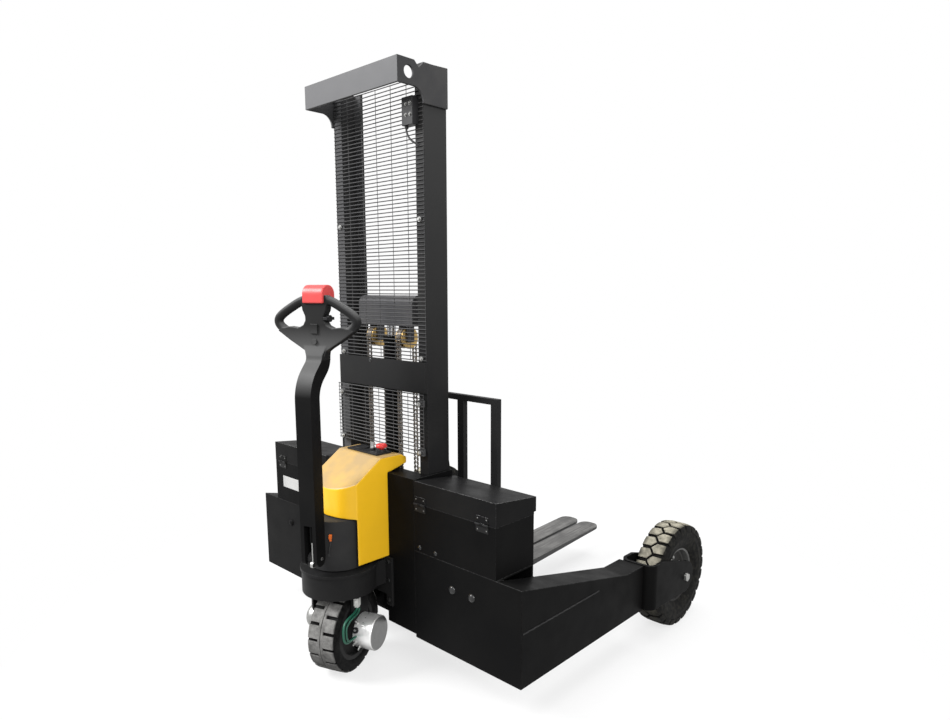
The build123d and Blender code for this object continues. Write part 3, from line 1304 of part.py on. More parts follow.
def neck_route():
    """Ends of the bends in the middle line of the tiller arm, in the column's frame."""
    turn = radians(NECK_TURN)
    rise_y = ARM_Y + NECK_LOWER_RADIUS * (1 - cos(turn))
    rise_z = ARM_STRAIGHT_TOP + NECK_LOWER_RADIUS * sin(turn)
    slant_y = HEAD_LOOP_Y - NECK_UPPER_RADIUS * (1 - cos(turn))
    slant_z = rise_z + (slant_y - rise_y) / tan(turn)
    end_z = slant_z + NECK_UPPER_RADIUS * sin(turn)
    return (0, rise_y, rise_z), (0, slant_y, slant_z), (0, HEAD_LOOP_Y, end_z)


def tiller_arm():
    """Swan-necked box arm, open at its foot for the tilt lug and the gas spring."""
    rise, slant, end = neck_route()
    foot = (0, ARM_Y, PIVOT_Z)
    bend = (0, ARM_Y, ARM_STRAIGHT_TOP)
    turn = radians(NECK_TURN)
    path = Curve() + [
        Line(foot, bend),
        TangentArc(bend, rise, tangent=(0, 0, 1)),
        Line(rise, slant),
        TangentArc(slant, end, tangent=(0, sin(turn), cos(turn))),
    ]
    section = Plane(origin=(0, ARM_Y, PIVOT_Z)) * Rectangle(ARM_WIDTH, ARM_DEPTH)
    body = sweep(section, path=path)
    half = ARM_WIDTH / 2
    foot_face = Pos(ARM_Y, PIVOT_Z) * Circle(ARM_FOOT_RADIUS)
    body += across(foot_face, -half, half)
    bottom = PIVOT_Z - ARM_FOOT_RADIUS
    cavity = (-ARM_CAVITY / 2, ARM_CAVITY / 2)
    body -= block(cavity, (ARM_REAR + ARM_WALL, ARM_FRONT - ARM_WALL), (bottom, ARM_STRAIGHT_TOP))
    body -= block(cavity, (ARM_REAR, ARM_Y), (bottom, ARM_SLOT_TOP))
    body -= block(cavity, (ARM_Y, ARM_FRONT), (bottom, ARM_FRONT_SLOT_TOP))
    body -= rod((-half, PIVOT_Y, PIVOT_Z), (half, PIVOT_Y, PIVOT_Z), PIVOT_RADIUS)
    spring_bolt = rod((0, SPRING_Y, SPRING_BOLT_Z), (half, SPRING_Y, SPRING_BOLT_Z), SPRING_BOLT_RADIUS)
    return steered(body - spring_bolt)


def shoulder():
    """Upper inner corner of the right hand loop, as (X, Z)."""
    return BUTTON_HALF + LOOP_SHOULDER_GAP, BUTTON_SEAT + LOOP_SHOULDER_RISE


def loop_outline():
    """Right half of the tiller head's outline and its hand hole, as (X, Z) points."""
    base = neck_route()[2][2]
    shoulder_x, shoulder_z = shoulder()
    end_top = HOLE_END_Z + LOOP_END_RISE / 2 + LOOP_END_BEND
    outline = [
        (0, base),
        (ARM_WIDTH / 2, base),
        (ARM_WIDTH / 2 + HEAD_NECK_FLARE, base + HEAD_NECK_RISE),
        (LOOP_HALF - LOOP_END_BEND, HOLE_END_Z - LOOP_END_RISE),
        (LOOP_HALF, HOLE_END_Z),
        (LOOP_HALF - LOOP_END_BEND, end_top),
        (shoulder_x, shoulder_z),
        (shoulder_x, BUTTON_SEAT),
        (0, BUTTON_SEAT),
    ]
    hole_end = LOOP_HALF - GRIP - LOOP_END_BEND
    hole = [
        (hole_end, HOLE_END_Z),
        ((HEAD_WEB + hole_end) / 2, HOLE_LOWER_Z - LOOP_END_BEND / 2),
        (HEAD_WEB, HOLE_LOWER_Z),
        (HEAD_WEB, BUTTON_SEAT - LOOP_END_BEND),
        (HOLE_TOP_X, HOLE_TOP_Z),
        (hole_end, end_top - LOOP_END_BEND),
    ]
    return outline, hole


def tiller_head():
    """Head plate with a hand loop on each side, the button post and pockets for the controls."""
    outline, hole = loop_outline()
    rim = make_face(Polyline(*outline, close=True))
    rim = fillet(rim.vertices().sort_by(Axis.X)[-3:], LOOP_ROUND)
    opening = make_face(Polyline(*hole, close=True))
    opening = fillet(opening.vertices(), HOLE_ROUND)
    plate = forward(rim - opening, HEAD_REAR, HEAD_FRONT)
    flats = plate.faces().sort_by(Axis.Y)
    edges = flats[0].edges() + flats[-1].edges()
    plate = fillet([edge for edge in edges if edge.bounding_box().max.X > shoulder()[0]], HEAD_ROUND)
    body = plate + mirrored(plate)
    body += block(
        (-POST_HALF, POST_HALF),
        (HEAD_LOOP_Y - POST_DEPTH / 2, HEAD_LOOP_Y + POST_DEPTH / 2),
        (BUTTON_SEAT, POST_TOP),
    )
    rocker_floor = HEAD_REAR + ROCKER_DEPTH + SEAT_GAP
    wide, tall = ROCKER_WIDTH / 2 + MOVE_GAP, ROCKER_HEIGHT / 2 + ROCKER_GAP
    body -= block((-wide, wide), (HEAD_REAR, rocker_floor), (ROCKER_Z - tall, ROCKER_Z + tall))
    horn_floor = HEAD_REAR + HORN_DEPTH + HORN_TRAVEL + MOVE_GAP
    body -= rod((0, HEAD_REAR, HORN_Z), (0, horn_floor, HORN_Z), HORN_RADIUS + MOVE_GAP)
    shaft = THROTTLE_SHAFT_RADIUS + RUN_CLEARANCE
    body -= rod((-HEAD_WEB, HEAD_LOOP_Y, THROTTLE_Z), (HEAD_WEB, HEAD_LOOP_Y, THROTTLE_Z), shaft)
    return steered(body)


def throttle():
    """Thumb paddle at the right of the head on its shaft."""
    start = HEAD_WEB + 2 * MOVE_GAP
    centre = (HEAD_LOOP_Y, THROTTLE_Z)
    paddle = rod((start, *centre), (start + THROTTLE_WIDTH, *centre), THROTTLE_HUB_RADIUS)
    paddle += block(
        (start, start + THROTTLE_WIDTH),
        (HEAD_LOOP_Y - THROTTLE_WING, HEAD_LOOP_Y + THROTTLE_WING),
        (THROTTLE_Z - THROTTLE_WING_THICKNESS / 2, THROTTLE_Z + THROTTLE_WING_THICKNESS / 2),
    )
    return steered(paddle + rod((-HEAD_WEB, *centre), (start, *centre), THROTTLE_SHAFT_RADIUS))


def lift_rocker():
    tall = ROCKER_HEIGHT / 2
    profile = side_face([
        (HEAD_REAR - ROCKER_PROUD, ROCKER_Z - tall),
        (HEAD_REAR - ROCKER_PROUD, ROCKER_Z + tall),
        (HEAD_REAR, ROCKER_Z + tall),
        (HEAD_REAR + ROCKER_DEPTH, ROCKER_Z),
        (HEAD_REAR, ROCKER_Z - tall),
    ])
    return steered(across(profile, -ROCKER_WIDTH / 2, ROCKER_WIDTH / 2))


def horn_button():
    inner = HEAD_REAR + HORN_DEPTH
    return steered(rod((0, HEAD_REAR - HORN_PROUD, HORN_Z), (0, inner, HORN_Z), HORN_RADIUS))


def belly_button():
    """Round-topped red cap that slides on the head's post and reaches forward over it."""
    bottom = BUTTON_SEAT + BUTTON_TRAVEL + MOVE_GAP
    rear, front = HEAD_LOOP_Y - BUTTON_REAR, HEAD_LOOP_Y + BUTTON_FRONT
    profile = side_face([(rear, bottom), (rear, BUTTON_TOP), (front, BUTTON_TOP), (front, bottom)])
    profile = fillet(profile.vertices().sort_by(Axis.Y)[-2:], BUTTON_ROUND)
    cap = across(profile, -BUTTON_HALF, BUTTON_HALF)
    hollow = block(
        (-POST_HALF - MOVE_GAP, POST_HALF + MOVE_GAP),
        (HEAD_LOOP_Y - POST_DEPTH / 2 - MOVE_GAP, HEAD_LOOP_Y + POST_DEPTH / 2 + MOVE_GAP),
        (bottom, POST_TOP + BUTTON_TRAVEL + MOVE_GAP),
    )
    return steered(cap - hollow)


def tilt_pin():
    half = ARM_WIDTH / 2
    return steered(rod((-half, PIVOT_Y, PIVOT_Z), (half, PIVOT_Y, PIVOT_Z), PIVOT_RADIUS))


def gas_spring_tube():
    """Pressure tube inside the arm, bolted to the right cheek at its upper end."""
    place = (SPRING_X, SPRING_Y)
    tube = rod((*place, SPRING_TUBE_BOTTOM), (*place, SPRING_TUBE_TOP), SPRING_TUBE_RADIUS)
    bore_bottom, bore_top = SPRING_TUBE_BOTTOM + SPRING_GLAND, SPRING_TUBE_TOP - SPRING_END_CAP
    tube -= rod((*place, bore_bottom), (*place, bore_top), SPRING_TUBE_BORE)
    gland = SPRING_ROD_RADIUS + RUN_CLEARANCE
    tube -= rod((*place, SPRING_TUBE_BOTTOM), (*place, bore_bottom), gland)
    bolt = rod(
        (SPRING_X, SPRING_Y, SPRING_BOLT_Z), (ARM_WIDTH / 2, SPRING_Y, SPRING_BOLT_Z), SPRING_BOLT_RADIUS
    )
    return steered(tube + bolt)


def gas_spring_rod():
    """Bright rod with the open eye that goes round the stud."""
    half = SPRING_EYE_WIDTH / 2
    ring = Circle(SPRING_EYE_RADIUS) - Circle(SPRING_EYE_BORE)
    eye = across(Pos(SPRING_Y, STUD_Z) * ring, SPRING_X - half, SPRING_X + half)
    bottom = STUD_Z + (SPRING_EYE_RADIUS + SPRING_EYE_BORE) / 2
    place = (SPRING_X, SPRING_Y)
    return steered(eye + rod((*place, bottom), (*place, SPRING_ROD_TOP), SPRING_ROD_RADIUS))


nodes = {
    "chassis_frame": chassis_frame(),
    "right_leg": leg(),
    "left_leg": mirrored(leg()),
    "wheel_forks": pair(wheel_fork()),
    "front_axles": pair(front_axle()),
    "right_front_tyre": front_tyre(),
    "right_front_rim": front_rim(),
    "left_front_tyre": mirrored(front_tyre()),
    "left_front_rim": mirrored(front_rim()),
    "battery_boxes": pair(battery_box()),
    "batteries": pair(battery()),
    "right_lid": right_lid(),
    "left_lid": mirrored(right_lid()),
    "lid_hinges": lid_hinges(),
    "right_mast_channel": mast_channel(),
    "left_mast_channel": mirrored(mast_channel()),
    "mast_crown": mast_crown(),
    "mast_cross_plate": mast_cross_plate(),
    "upper_guard_mesh": upper_guard_mesh(),
    "lower_guard_mesh": lower_guard_mesh(),
    "frame_bolts": frame_bolts(),
    "limit_switch": limit_switch(),
    "lift_cylinder": lift_cylinder(),
    "lift_rod": lift_rod(),
    "crosshead": crosshead(),
    "chain_pulleys": pair(chain_pulley()),
    "fixed_chains": pair(fixed_chain()),
    "lifted_chains": pair(lifted_chain()),
    "chain_wraps": pair(chain_wrap()),
    "fork_carriage": carriage(),
    "lower_rollers": roller_pair(LOWER_ROLLER_Z),
    "upper_rollers": roller_pair(UPPER_ROLLER_Z),
    "load_backrest": load_backrest(),
    "right_fork": fork(),
    "left_fork": mirrored(fork()),
    "steering_housing": steering_housing(),
    "steering_bearing": steering_bearing(),
    "steering_head": steering_head(),
    "drive_bracket": drive_bracket(),
    "drive_motor": drive_motor(),
    "drive_brake": drive_brake(),
    "motor_lead": motor_lead(),
    "drive_tyre": drive_tyre(),
    "drive_hub": drive_hub(),
    "drive_cover": drive_cover(),
    "control_panel": control_panel(),
    "emergency_stop": emergency_stop(),
    "key": key(),
    "power_pack": power_pack(),
    "motor_controller": motor_controller(),
    "hydraulic_hose": hydraulic_hose(),
    "tiller_arm": tiller_arm(),
    "tiller_head": tiller_head(),
    "tilt_pin": tilt_pin(),
    "gas_spring_tube": gas_spring_tube(),
    "gas_spring_rod": gas_spring_rod(),
    "belly_button": belly_button(),
    "throttle": throttle(),
    "lift_rocker": lift_rocker(),
    "horn_button": horn_button(),
}

for name, shape in nodes.items():
    export_step(Pos(0, -ORIGIN_Y, 0) * shape, f"parts/{name}.step")
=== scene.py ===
"""Looks of the walk-behind stacker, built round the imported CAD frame."""
import bmesh
import bpy
import json
from math import atan2, cos, pi, radians, sin
from mathutils import Matrix, Vector


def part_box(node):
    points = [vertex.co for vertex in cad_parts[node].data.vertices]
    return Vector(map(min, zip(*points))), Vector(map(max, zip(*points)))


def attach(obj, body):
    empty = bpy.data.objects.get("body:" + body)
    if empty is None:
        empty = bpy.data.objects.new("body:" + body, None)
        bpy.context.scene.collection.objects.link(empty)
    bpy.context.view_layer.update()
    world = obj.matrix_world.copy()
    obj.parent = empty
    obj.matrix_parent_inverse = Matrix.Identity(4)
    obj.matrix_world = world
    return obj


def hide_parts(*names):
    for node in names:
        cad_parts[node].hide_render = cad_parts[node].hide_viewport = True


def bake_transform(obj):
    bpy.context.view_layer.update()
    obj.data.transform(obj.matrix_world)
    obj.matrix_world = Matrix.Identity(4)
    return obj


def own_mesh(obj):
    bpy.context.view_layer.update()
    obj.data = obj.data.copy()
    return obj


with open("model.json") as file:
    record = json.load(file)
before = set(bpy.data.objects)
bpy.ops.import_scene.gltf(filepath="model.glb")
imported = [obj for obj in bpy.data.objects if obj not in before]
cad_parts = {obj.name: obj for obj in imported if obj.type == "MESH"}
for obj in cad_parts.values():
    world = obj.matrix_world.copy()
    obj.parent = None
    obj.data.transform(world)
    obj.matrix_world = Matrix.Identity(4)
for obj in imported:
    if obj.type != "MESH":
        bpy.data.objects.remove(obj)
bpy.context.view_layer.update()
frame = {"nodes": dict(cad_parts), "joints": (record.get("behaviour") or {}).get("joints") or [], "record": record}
SCENE = bpy.context.scene
RECORD = frame["record"]
BODY_OF = {node: body for body, nodes in RECORD["behaviour"]["bodies"].items() for node in nodes}
SLOT_OF = {part["node"]: part["material_slot"] for part in RECORD["subparts"]}
MM = 0.001
SIDES = (1, -1)  # right, then left

# -------------------------------- places taken from the frame


def middle(node):
    """The centre of a CAD node's box."""
    low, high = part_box(node)
    return (low + high) / 2


JOINT = {joint["name"]: joint for joint in frame["joints"]}
STEER_POINT = Vector(JOINT["steer"]["pos_m"])
TILLER_AXIS = Vector(JOINT["tiller_tilt"]["axis"])
STEER_ANGLE = atan2(TILLER_AXIS.y, TILLER_AXIS.x)
STEERED = Matrix.Translation((STEER_POINT.x, STEER_POINT.y, 0)) @ Matrix.Rotation(STEER_ANGLE, 4, "Z")
TRUCK_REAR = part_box("chassis_frame")[0].y
TRUCK = Matrix.Translation((0, TRUCK_REAR, 0))
DRIVE_AXLE = 0.147  # metres above the ground
MOTOR_AXIS = STEERED @ Matrix.Translation((0, 0, DRIVE_AXLE))


def truck(x, y, z):
    """A place in millimetres: right of the middle, forward of the rear plate, above the ground."""
    return TRUCK @ Vector((x * MM, y * MM, z * MM))


def steered(x, y, z):
    """A place in millimetres that turns with the drive wheel, from the steering axis."""
    return STEERED @ Vector((x * MM, y * MM, z * MM))


# -------------------------------- materials


def feed(tree, socket, value):
    """Links a socket to another, or gives it a value. A colour is given without its alpha."""
    if isinstance(value, bpy.types.NodeSocket):
        tree.links.new(value, socket)
    elif socket.type == "RGBA":
        socket.default_value = (*value, 1)
    else:
        socket.default_value = value


def new_node(tree, kind, sockets=None, **settings):
    """A node in any tree, with its settings made and its sockets fed."""
    node = tree.nodes.new(kind)
    for name, value in settings.items():
        setattr(node, name, value)
    for key, value in (sockets or {}).items():
        feed(tree, node.inputs[key], value)
    return node


def tree_math(tree, operation, first, second):
    return new_node(tree, "ShaderNodeMath", {0: first, 1: second}, operation=operation).outputs[0]


class Finish:
    """A node material on Object coordinates. Each method returns the socket it made."""

    def __init__(self, name, colour, roughness, metallic=0.0, specular=0.5):
        self.material = bpy.data.materials.new(name)
        self.material.use_nodes = True
        self.tree = self.material.node_tree
        self.shader = self.tree.nodes["Principled BSDF"]
        self.wear(colour, roughness)
        self.shader.inputs["Metallic"].default_value = metallic
        self.shader.inputs["Specular IOR Level"].default_value = specular
        self.place = self.add("ShaderNodeTexCoord").outputs["Object"]

    def add(self, kind, sockets=None, **settings):
        return new_node(self.tree, kind, sockets, **settings)

    def moved(self, origin=(0, 0, 0), turn=(0, 0, 0), stretch=(1, 1, 1)):
        """Object coordinates about an origin, turned and stretched."""
        shift = self.add("ShaderNodeVectorMath", {0: self.place, 1: origin}, operation="SUBTRACT")
        sockets = {"Vector": shift.outputs[0], "Rotation": turn, "Scale": stretch}
        return self.add("ShaderNodeMapping", sockets).outputs[0]

    def noise(self, scale, detail=3.0, roughness=0.55, place=None):
        sockets = {"Vector": place or self.place, "Scale": scale, "Detail": detail, "Roughness": roughness}
        return self.add("ShaderNodeTexNoise", sockets).outputs["Fac"]

    def fit(self, value, low, high, to_low=0.0, to_high=1.0):
        """A value brought from one range to another, and kept inside it."""
        sockets = {0: value, 1: low, 2: high, 3: to_low, 4: to_high}
        return self.add("ShaderNodeMapRange", sockets).outputs[0]

    def math(self, operation, first, second):
        return tree_math(self.tree, operation, first, second)

    def times(self, first, second):
        return self.math("MULTIPLY", first, second)

    def mix(self, factor, first, second):
        sockets = {"Factor": factor, "A": first, "B": second}
        return self.add("ShaderNodeMix", sockets, data_type="RGBA").outputs["Result"]

    def attribute(self, name):
        return self.add("ShaderNodeAttribute", attribute_name=name).outputs["Fac"]

    def part_of(self, vector, axis):
        """The X, Y or Z of a vector."""
        return self.add("ShaderNodeSeparateXYZ", {0: vector}).outputs["XYZ".index(axis)]

    def length(self, vector):
        return self.add("ShaderNodeVectorMath", {0: vector}, operation="LENGTH").outputs["Value"]

    def from_axle(self, local):
        """Distance from a local X axis."""
        flat = self.add("ShaderNodeVectorMath", {0: local, 1: (0, 1, 1)}, operation="MULTIPLY")
        return self.length(flat.outputs[0])

    def facing(self, axis):
        """How far the surface faces along an axis, from -1 to 1."""
        return self.part_of(self.add("ShaderNodeTexCoord").outputs["Normal"], axis)

    def bump(self, height, distance, strength):
        sockets = {"Strength": strength, "Distance": distance, "Height": height}
        return self.add("ShaderNodeBump", sockets).outputs[0]

    def cloud(self):
        """Broad soft patches."""
        return self.fit(self.noise(9.0, 4.0, 0.6), 0.35, 0.7)

    def grain(self, scale, depth, strength=0.6):
        """A fine even roughness of the surface."""
        return self.bump(self.noise(scale, 2.0, 0.5), depth, strength)

    def wear(self, colour, roughness=None, normal=None):
        """Feeds the shader and returns the finished material."""
        for socket, value in (("Base Color", colour), ("Roughness", roughness), ("Normal", normal)):
            if value is not None:
                feed(self.tree, self.shader.inputs[socket], value)
        return self.material


def grey(tone):
    return (tone,) * 3


def scaled(colour, share):
    return tuple(c * share for c in colour)


def black_paint(
    name, tone=0.0042, roughness=0.42, rub=0.3, sheen=0.03, lit_rear_tone=None,
    painted_light_fade=None, tint=1.03, bare=0.10, sheen_top_tone=None, rear_only=False,
):
    """Satin black over steel: orange peel, dust in patches, paint rubbed thin on the upper edges.

    Painted light: the rear faces can take a lighter tone for the light that falls on them, the paint can fade to a
    lighter tone between two heights, on all faces or the rear ones, and upward faces can be paler as a painted
    sheen.
    """
    f = Finish(name, grey(tone), roughness, specular=sheen)
    dust = f.fit(f.noise(5.0, 5.0, 0.6), 0.40, 0.75)
    body = f.mix(dust, (tone, tone, tone * tint), (tone * 1.5, tone * 1.47, tone * 1.4 * tint))
    # painted light: a lighter tone between two heights
    if painted_light_fade:
        low, high, lit_tone = painted_light_fade
        fade = f.fit(f.part_of(f.place, "Z"), low, high)
        if rear_only:
            fade = f.times(fade, f.fit(f.facing("Y"), -0.1, -0.5))
        body = f.mix(fade, body, grey(lit_tone))
    # painted sheen: upward faces paler
    if sheen_top_tone:
        body = f.mix(f.fit(f.facing("Z"), 0.15, 0.85), body, grey(sheen_top_tone))
    chips = f.fit(f.noise(160.0, 3.0, 0.7), 0.40, 0.62)
    edge = f.times(f.attribute("edge"), chips)
    edge = f.times(edge, f.fit(f.facing("Z"), 0.1, 0.5, rub * 0.25, rub))
    # painted light: the rear faces lighter
    if lit_rear_tone:
        rear = f.fit(f.facing("Y"), -0.6, -0.9)
        body = f.mix(rear, body, (lit_rear_tone, lit_rear_tone, lit_rear_tone * 1.03))
    colour = f.mix(edge, body, grey(bare))
    peel = f.grain(420.0, 0.00012, 0.5)
    rough = f.fit(f.noise(14.0, 4.0, 0.6), 0.3, 0.75, roughness - 0.05, roughness + 0.12)
    return f.wear(colour, rough, peel)


def plated(name, colour, roughness, dirt=0.5):
    """Zinc or chrome over steel, a little stained."""
    f = Finish(name, colour, roughness, 1.0)
    stain = f.fit(f.noise(90.0, 4.0, 0.6), 0.45, 0.75, 0.0, dirt)
    tone = f.mix(stain, colour, scaled(colour, 0.45))
    rough = f.fit(f.noise(220.0, 3.0, 0.6), 0.3, 0.7, roughness - 0.06, roughness + 0.12)
    return f.wear(tone, rough, f.bump(f.noise(700.0), 0.00004, 0.4))


def moulded(name, colour, roughness, grain=900.0, depth=0.00006, shade=0.8, specular=0.5):
    """Moulded plastic or rubber with a fine grain and slight clouding."""
    f = Finish(name, colour, roughness, specular=specular)
    tone = f.mix(f.cloud(), scaled(colour, shade), colour)
    rough = f.fit(f.noise(30.0, 3.0), 0.3, 0.7, roughness - 0.05, roughness + 0.08)
    return f.wear(tone, rough, f.grain(grain, depth))


def cover_paint(name, colour, sheen_colour):
    """Satin moulded cover, with a paler painted sheen in patches where it slopes up to the light."""
    f = Finish(name, colour, 0.36)
    sides = f.mix(f.cloud(), scaled(colour, 0.95), colour)
    sheen_patches = f.fit(f.noise(7.0), 0.3, 0.6, 0.6, 1.0)
    # painted sheen: faces sloping up turn paler
    painted_sheen = f.times(f.fit(f.facing("Z"), 0.30, 0.60), sheen_patches)
    rough = f.fit(f.noise(30.0, 3.0), 0.3, 0.7, 0.31, 0.44)
    return f.wear(f.mix(painted_sheen, sides, sheen_colour), rough, f.grain(500.0, 0.00008))


def fork_steel(name):
    """Black paint scraped to grey steel along the fork's top and tip."""
    paint = grey(0.016)
    f = Finish(name, paint, 0.45)
    along = f.moved(stretch=(60, 2.2, 60))
    scrape = f.fit(f.noise(2.4, 6.0, 0.65, along), 0.34, 0.60)
    patch = f.fit(f.noise(7.0, 4.0, 0.6), 0.30, 0.55)
    top = f.fit(f.facing("Z"), 0.75, 0.95)
    bare = f.times(f.times(scrape, patch), top)
    edge = f.times(f.attribute("edge"), f.fit(f.noise(90.0), 0.35, 0.6))
    bare = f.math("MAXIMUM", bare, f.times(edge, 0.6))
    steel = f.mix(f.noise(30.0, 4.0, 0.6), (0.07, 0.068, 0.065), (0.15, 0.147, 0.14))
    worn = f.mix(f.times(top, 0.75), paint, (0.032, 0.031, 0.03))
    rough = f.fit(bare, 0.0, 1.0, 0.48, 0.36)
    return f.wear(f.mix(bare, worn, steel), rough, f.bump(scrape, 0.0001, 0.35))


def tyre_rubber(name, centre, tread_from, tread_to, dust, dark, underside_shade, turn=0.0):
    """Black rubber whose tread is dusty by its distance from the axle; the underside keeps less dust and stays
    dark as painted shade.
    """
    f = Finish(name, grey(dark), 0.75, specular=0.05)
    local = f.moved(centre, (0, 0, turn))
    tread = f.fit(f.from_axle(local), tread_from, tread_to)
    # painted shade: less dust on the underside
    tread = f.times(tread, f.fit(f.part_of(local, "Z"), -0.12, 0.03, underside_shade, 1.0))
    patch = f.fit(f.noise(45.0, 5.0, 0.68), 0.28, 0.60, 0.35, 1.0)
    dusty = f.times(tread, patch)
    film = f.fit(f.noise(55.0, 5.0, 0.7), 0.45, 0.75, 0.0, 0.12)
    side = f.mix(film, grey(dark), scaled(dust, 0.55))
    grain = f.bump(f.noise(500.0, 3.0, 0.6), 0.00015, 0.5)
    return f.wear(f.mix(dusty, side, dust), f.fit(dusty, 0, 1, 0.62, 0.9), grain)


def rim_paint(name, centre):
    """Silver on the upper part of the rim's flange, with painted shade dark in its dish and on the flange's lower
    part.
    """
    f = Finish(name, (0.34, 0.34, 0.33), 0.5, specular=0.15)
    local = f.moved(centre)
    # painted shade: only the upper part of the flange shows silver
    lit_upper_part = f.fit(f.part_of(local, "Z"), -0.03, 0.06)
    flange = f.times(f.fit(f.from_axle(local), 0.084, 0.094), lit_upper_part)
    painted_shade = f.mix(f.fit(f.noise(20.0, 4.0, 0.6), 0.35, 0.7), (0.012, 0.012, 0.011), (0.03, 0.029, 0.027))
    silver = f.mix(f.cloud(), (0.08, 0.08, 0.077), (0.15, 0.15, 0.146))
    return f.wear(f.mix(flange, painted_shade, silver), normal=f.grain(500.0, 0.00008))


def turned_metal(name, colour, axis_turn, centre):
    """Machined aluminium with faint turning rings about its own axis, with painted shade below and on its end."""
    f = Finish(name, colour, 0.30, 0.7)
    local = f.moved(centre, axis_turn)
    along = f.add("ShaderNodeCombineXYZ", {0: f.math("ADD", f.from_axle(local), f.part_of(local, "X"))})
    rings = f.add(
        "ShaderNodeTexWave", {"Vector": along.outputs[0], "Scale": 260.0, "Distortion": 1.5},
        wave_type="BANDS", bands_direction="X", wave_profile="SIN",
    )
    stain = f.fit(f.noise(26.0, 5.0, 0.65), 0.42, 0.72, 0.0, 0.35)
    tone = f.mix(stain, colour, scaled(colour, 0.52))
    # painted shade on the faces that look down
    underside_shade = f.fit(f.facing("Z"), -0.1, -0.7, 0.0, 0.8)
    tone = f.mix(underside_shade, tone, scaled(colour, 0.12))
    end = f.fit(f.part_of(local, "X"), 0.1492, 0.1506)  # the can's end face is at 0.15 m; darkening it is painted shade
    tone = f.mix(end, tone, scaled(colour, 0.24))
    rough = f.fit(f.noise(60.0, 3.0), 0.3, 0.7, 0.26, 0.44)
    return f.wear(tone, rough, f.bump(rings.outputs["Fac"], 0.00004, 0.35))


# the paints' numbers: tone, roughness, how far edges are rubbed, sheen, lighter tone of the rear faces as painted
# light
BLACK = black_paint("satin_black_paint")
# lids: a lighter tone as painted light; the edges rubbed to bare steel are real wear
LID_BLACK = black_paint("lid_black_paint", 0.0085, 0.42, 1.0, bare=0.35)
# left leg: a lighter copy of the black paint, as painted light on the side nearer the key lamp
LEG_BLACK = black_paint("left_leg_black_paint", 0.0085)
# tiller head: painted sheen, lighter on the neck's rear faces and on upward faces
HEAD_BLACK = black_paint(
    "head_black_moulding", 0.013, 0.46, 0.0, 0.1, painted_light_fade=(1.19, 1.115, 0.085), sheen_top_tone=0.09, rear_only=True,
)
HINGE_BLACK = black_paint("hinge_black_paint", 0.012, 0.45, 0.9, 0.1, bare=0.22)
# wire guards: a lighter black as painted highlight on the round wires
WIRE_BLACK = black_paint("wire_black_paint", 0.055, 0.45, 0.0, 0.12)
BOLT_BLACK = black_paint("glossy_bolt_paint", 0.014, 0.24, 0.1, 0.4)
BLACK_CAST = black_paint("cast_black_paint", 0.013, 0.45, 0.2, 0.06)
# a lighter copy of the black paint, as painted light on the steering head and the weld runs
GREY_BLACK = black_paint("dusty_black_paint", 0.028, 0.45, 0.2, 0.05)
# right mast: painted light, the paint lighter towards the top
MAST_BLACK = black_paint("mast_black_paint", 0.014, 0.45, 0.3, 0.05, painted_light_fade=(0.9, 1.9, 0.042))
# tiller arm: painted sheen, its rear faces lighter from 0.97 m up
ARM_BLACK = black_paint("arm_black_paint", 0.006, 0.42, 0.2, 0.05, painted_light_fade=(0.972, 1.04, 0.088), rear_only=True)
# left mast channel: a lighter copy as painted light, its rear faces lighter still
LEFT_MAST_BLACK = black_paint("left_mast_black_paint", 0.02, 0.45, 0.3, 0.05, 0.075)
# mast crown: a lighter tone and lighter rear faces as painted sheen
PALE_BLACK = black_paint("sunned_black_paint", 0.045, 0.5, 0.3, 0.10, 0.125)
# crosshead: slate grey, its tone raised as painted light
SLATE = black_paint("slate_paint", 0.056, 0.38, 0.2, 0.3, tint=1.08)
FORK = fork_steel("scraped_fork_steel")
# colour, roughness, then dirt
ZINC = plated("zinc_plate", (0.40, 0.40, 0.39), 0.42)
DULL_ZINC = plated("dull_zinc", (0.17, 0.17, 0.165), 0.5)
BRAKE_CASE = plated("brake_case", (0.36, 0.36, 0.35), 0.38)
GOLD = plated("yellow_zinc", (0.50, 0.34, 0.13), 0.34, 0.5)
CHROME = plated("bright_rod", (0.55, 0.55, 0.56), 0.2, 0.2)
CHAIN = plated("oiled_chain", (0.20, 0.175, 0.15), 0.42, 0.6)
# the second colour is the cover's painted sheen where it slopes up
YELLOW = cover_paint("cover_yellow", (0.93, 0.53, 0.016), (0.375, 0.255, 0.112))
# colour, roughness, then the grain's scale, its depth and the clouds' shade
RED = moulded("stop_red", (0.66, 0.035, 0.032), 0.36, 600.0, 0.00004, 0.9)
PALE_RED = moulded("button_red", (0.66, 0.062, 0.06), 0.42, 600.0, 0.00004, 0.9)
BLACK_PLASTIC = moulded("moulded_black", (0.014, 0.014, 0.015), 0.46, 700.0, 0.0001, 0.8, 0.25)
CASE_PLASTIC = moulded("battery_case", (0.035, 0.04, 0.046), 0.5)
GREY_PAINT = moulded("pack_grey", (0.20, 0.21, 0.22), 0.42)
HOSE_RUBBER = moulded("hose_rubber", (0.016, 0.016, 0.016), 0.6, 350.0, 0.0002)
GREEN_LEAD = moulded("lead_green", (0.010, 0.105, 0.062), 0.45)
WHITE_METAL = moulded("bare_plate", (0.52, 0.52, 0.51), 0.4)
WHITE_PLASTIC = moulded("plug_white", (0.80, 0.80, 0.77), 0.45)
ORANGE_PLASTIC = moulded("plug_orange", (0.80, 0.16, 0.015), 0.45)
HUB_IRON = moulded("hub_iron", (0.004, 0.004, 0.004), 0.8, 260.0, 0.0003, 0.7)
# motor can: painted shade on its underside and on its end face
ALUMINIUM = turned_metal("turned_aluminium", (0.92, 0.92, 0.91), (0, 0, -STEER_ANGLE), MOTOR_AXIS.translation)
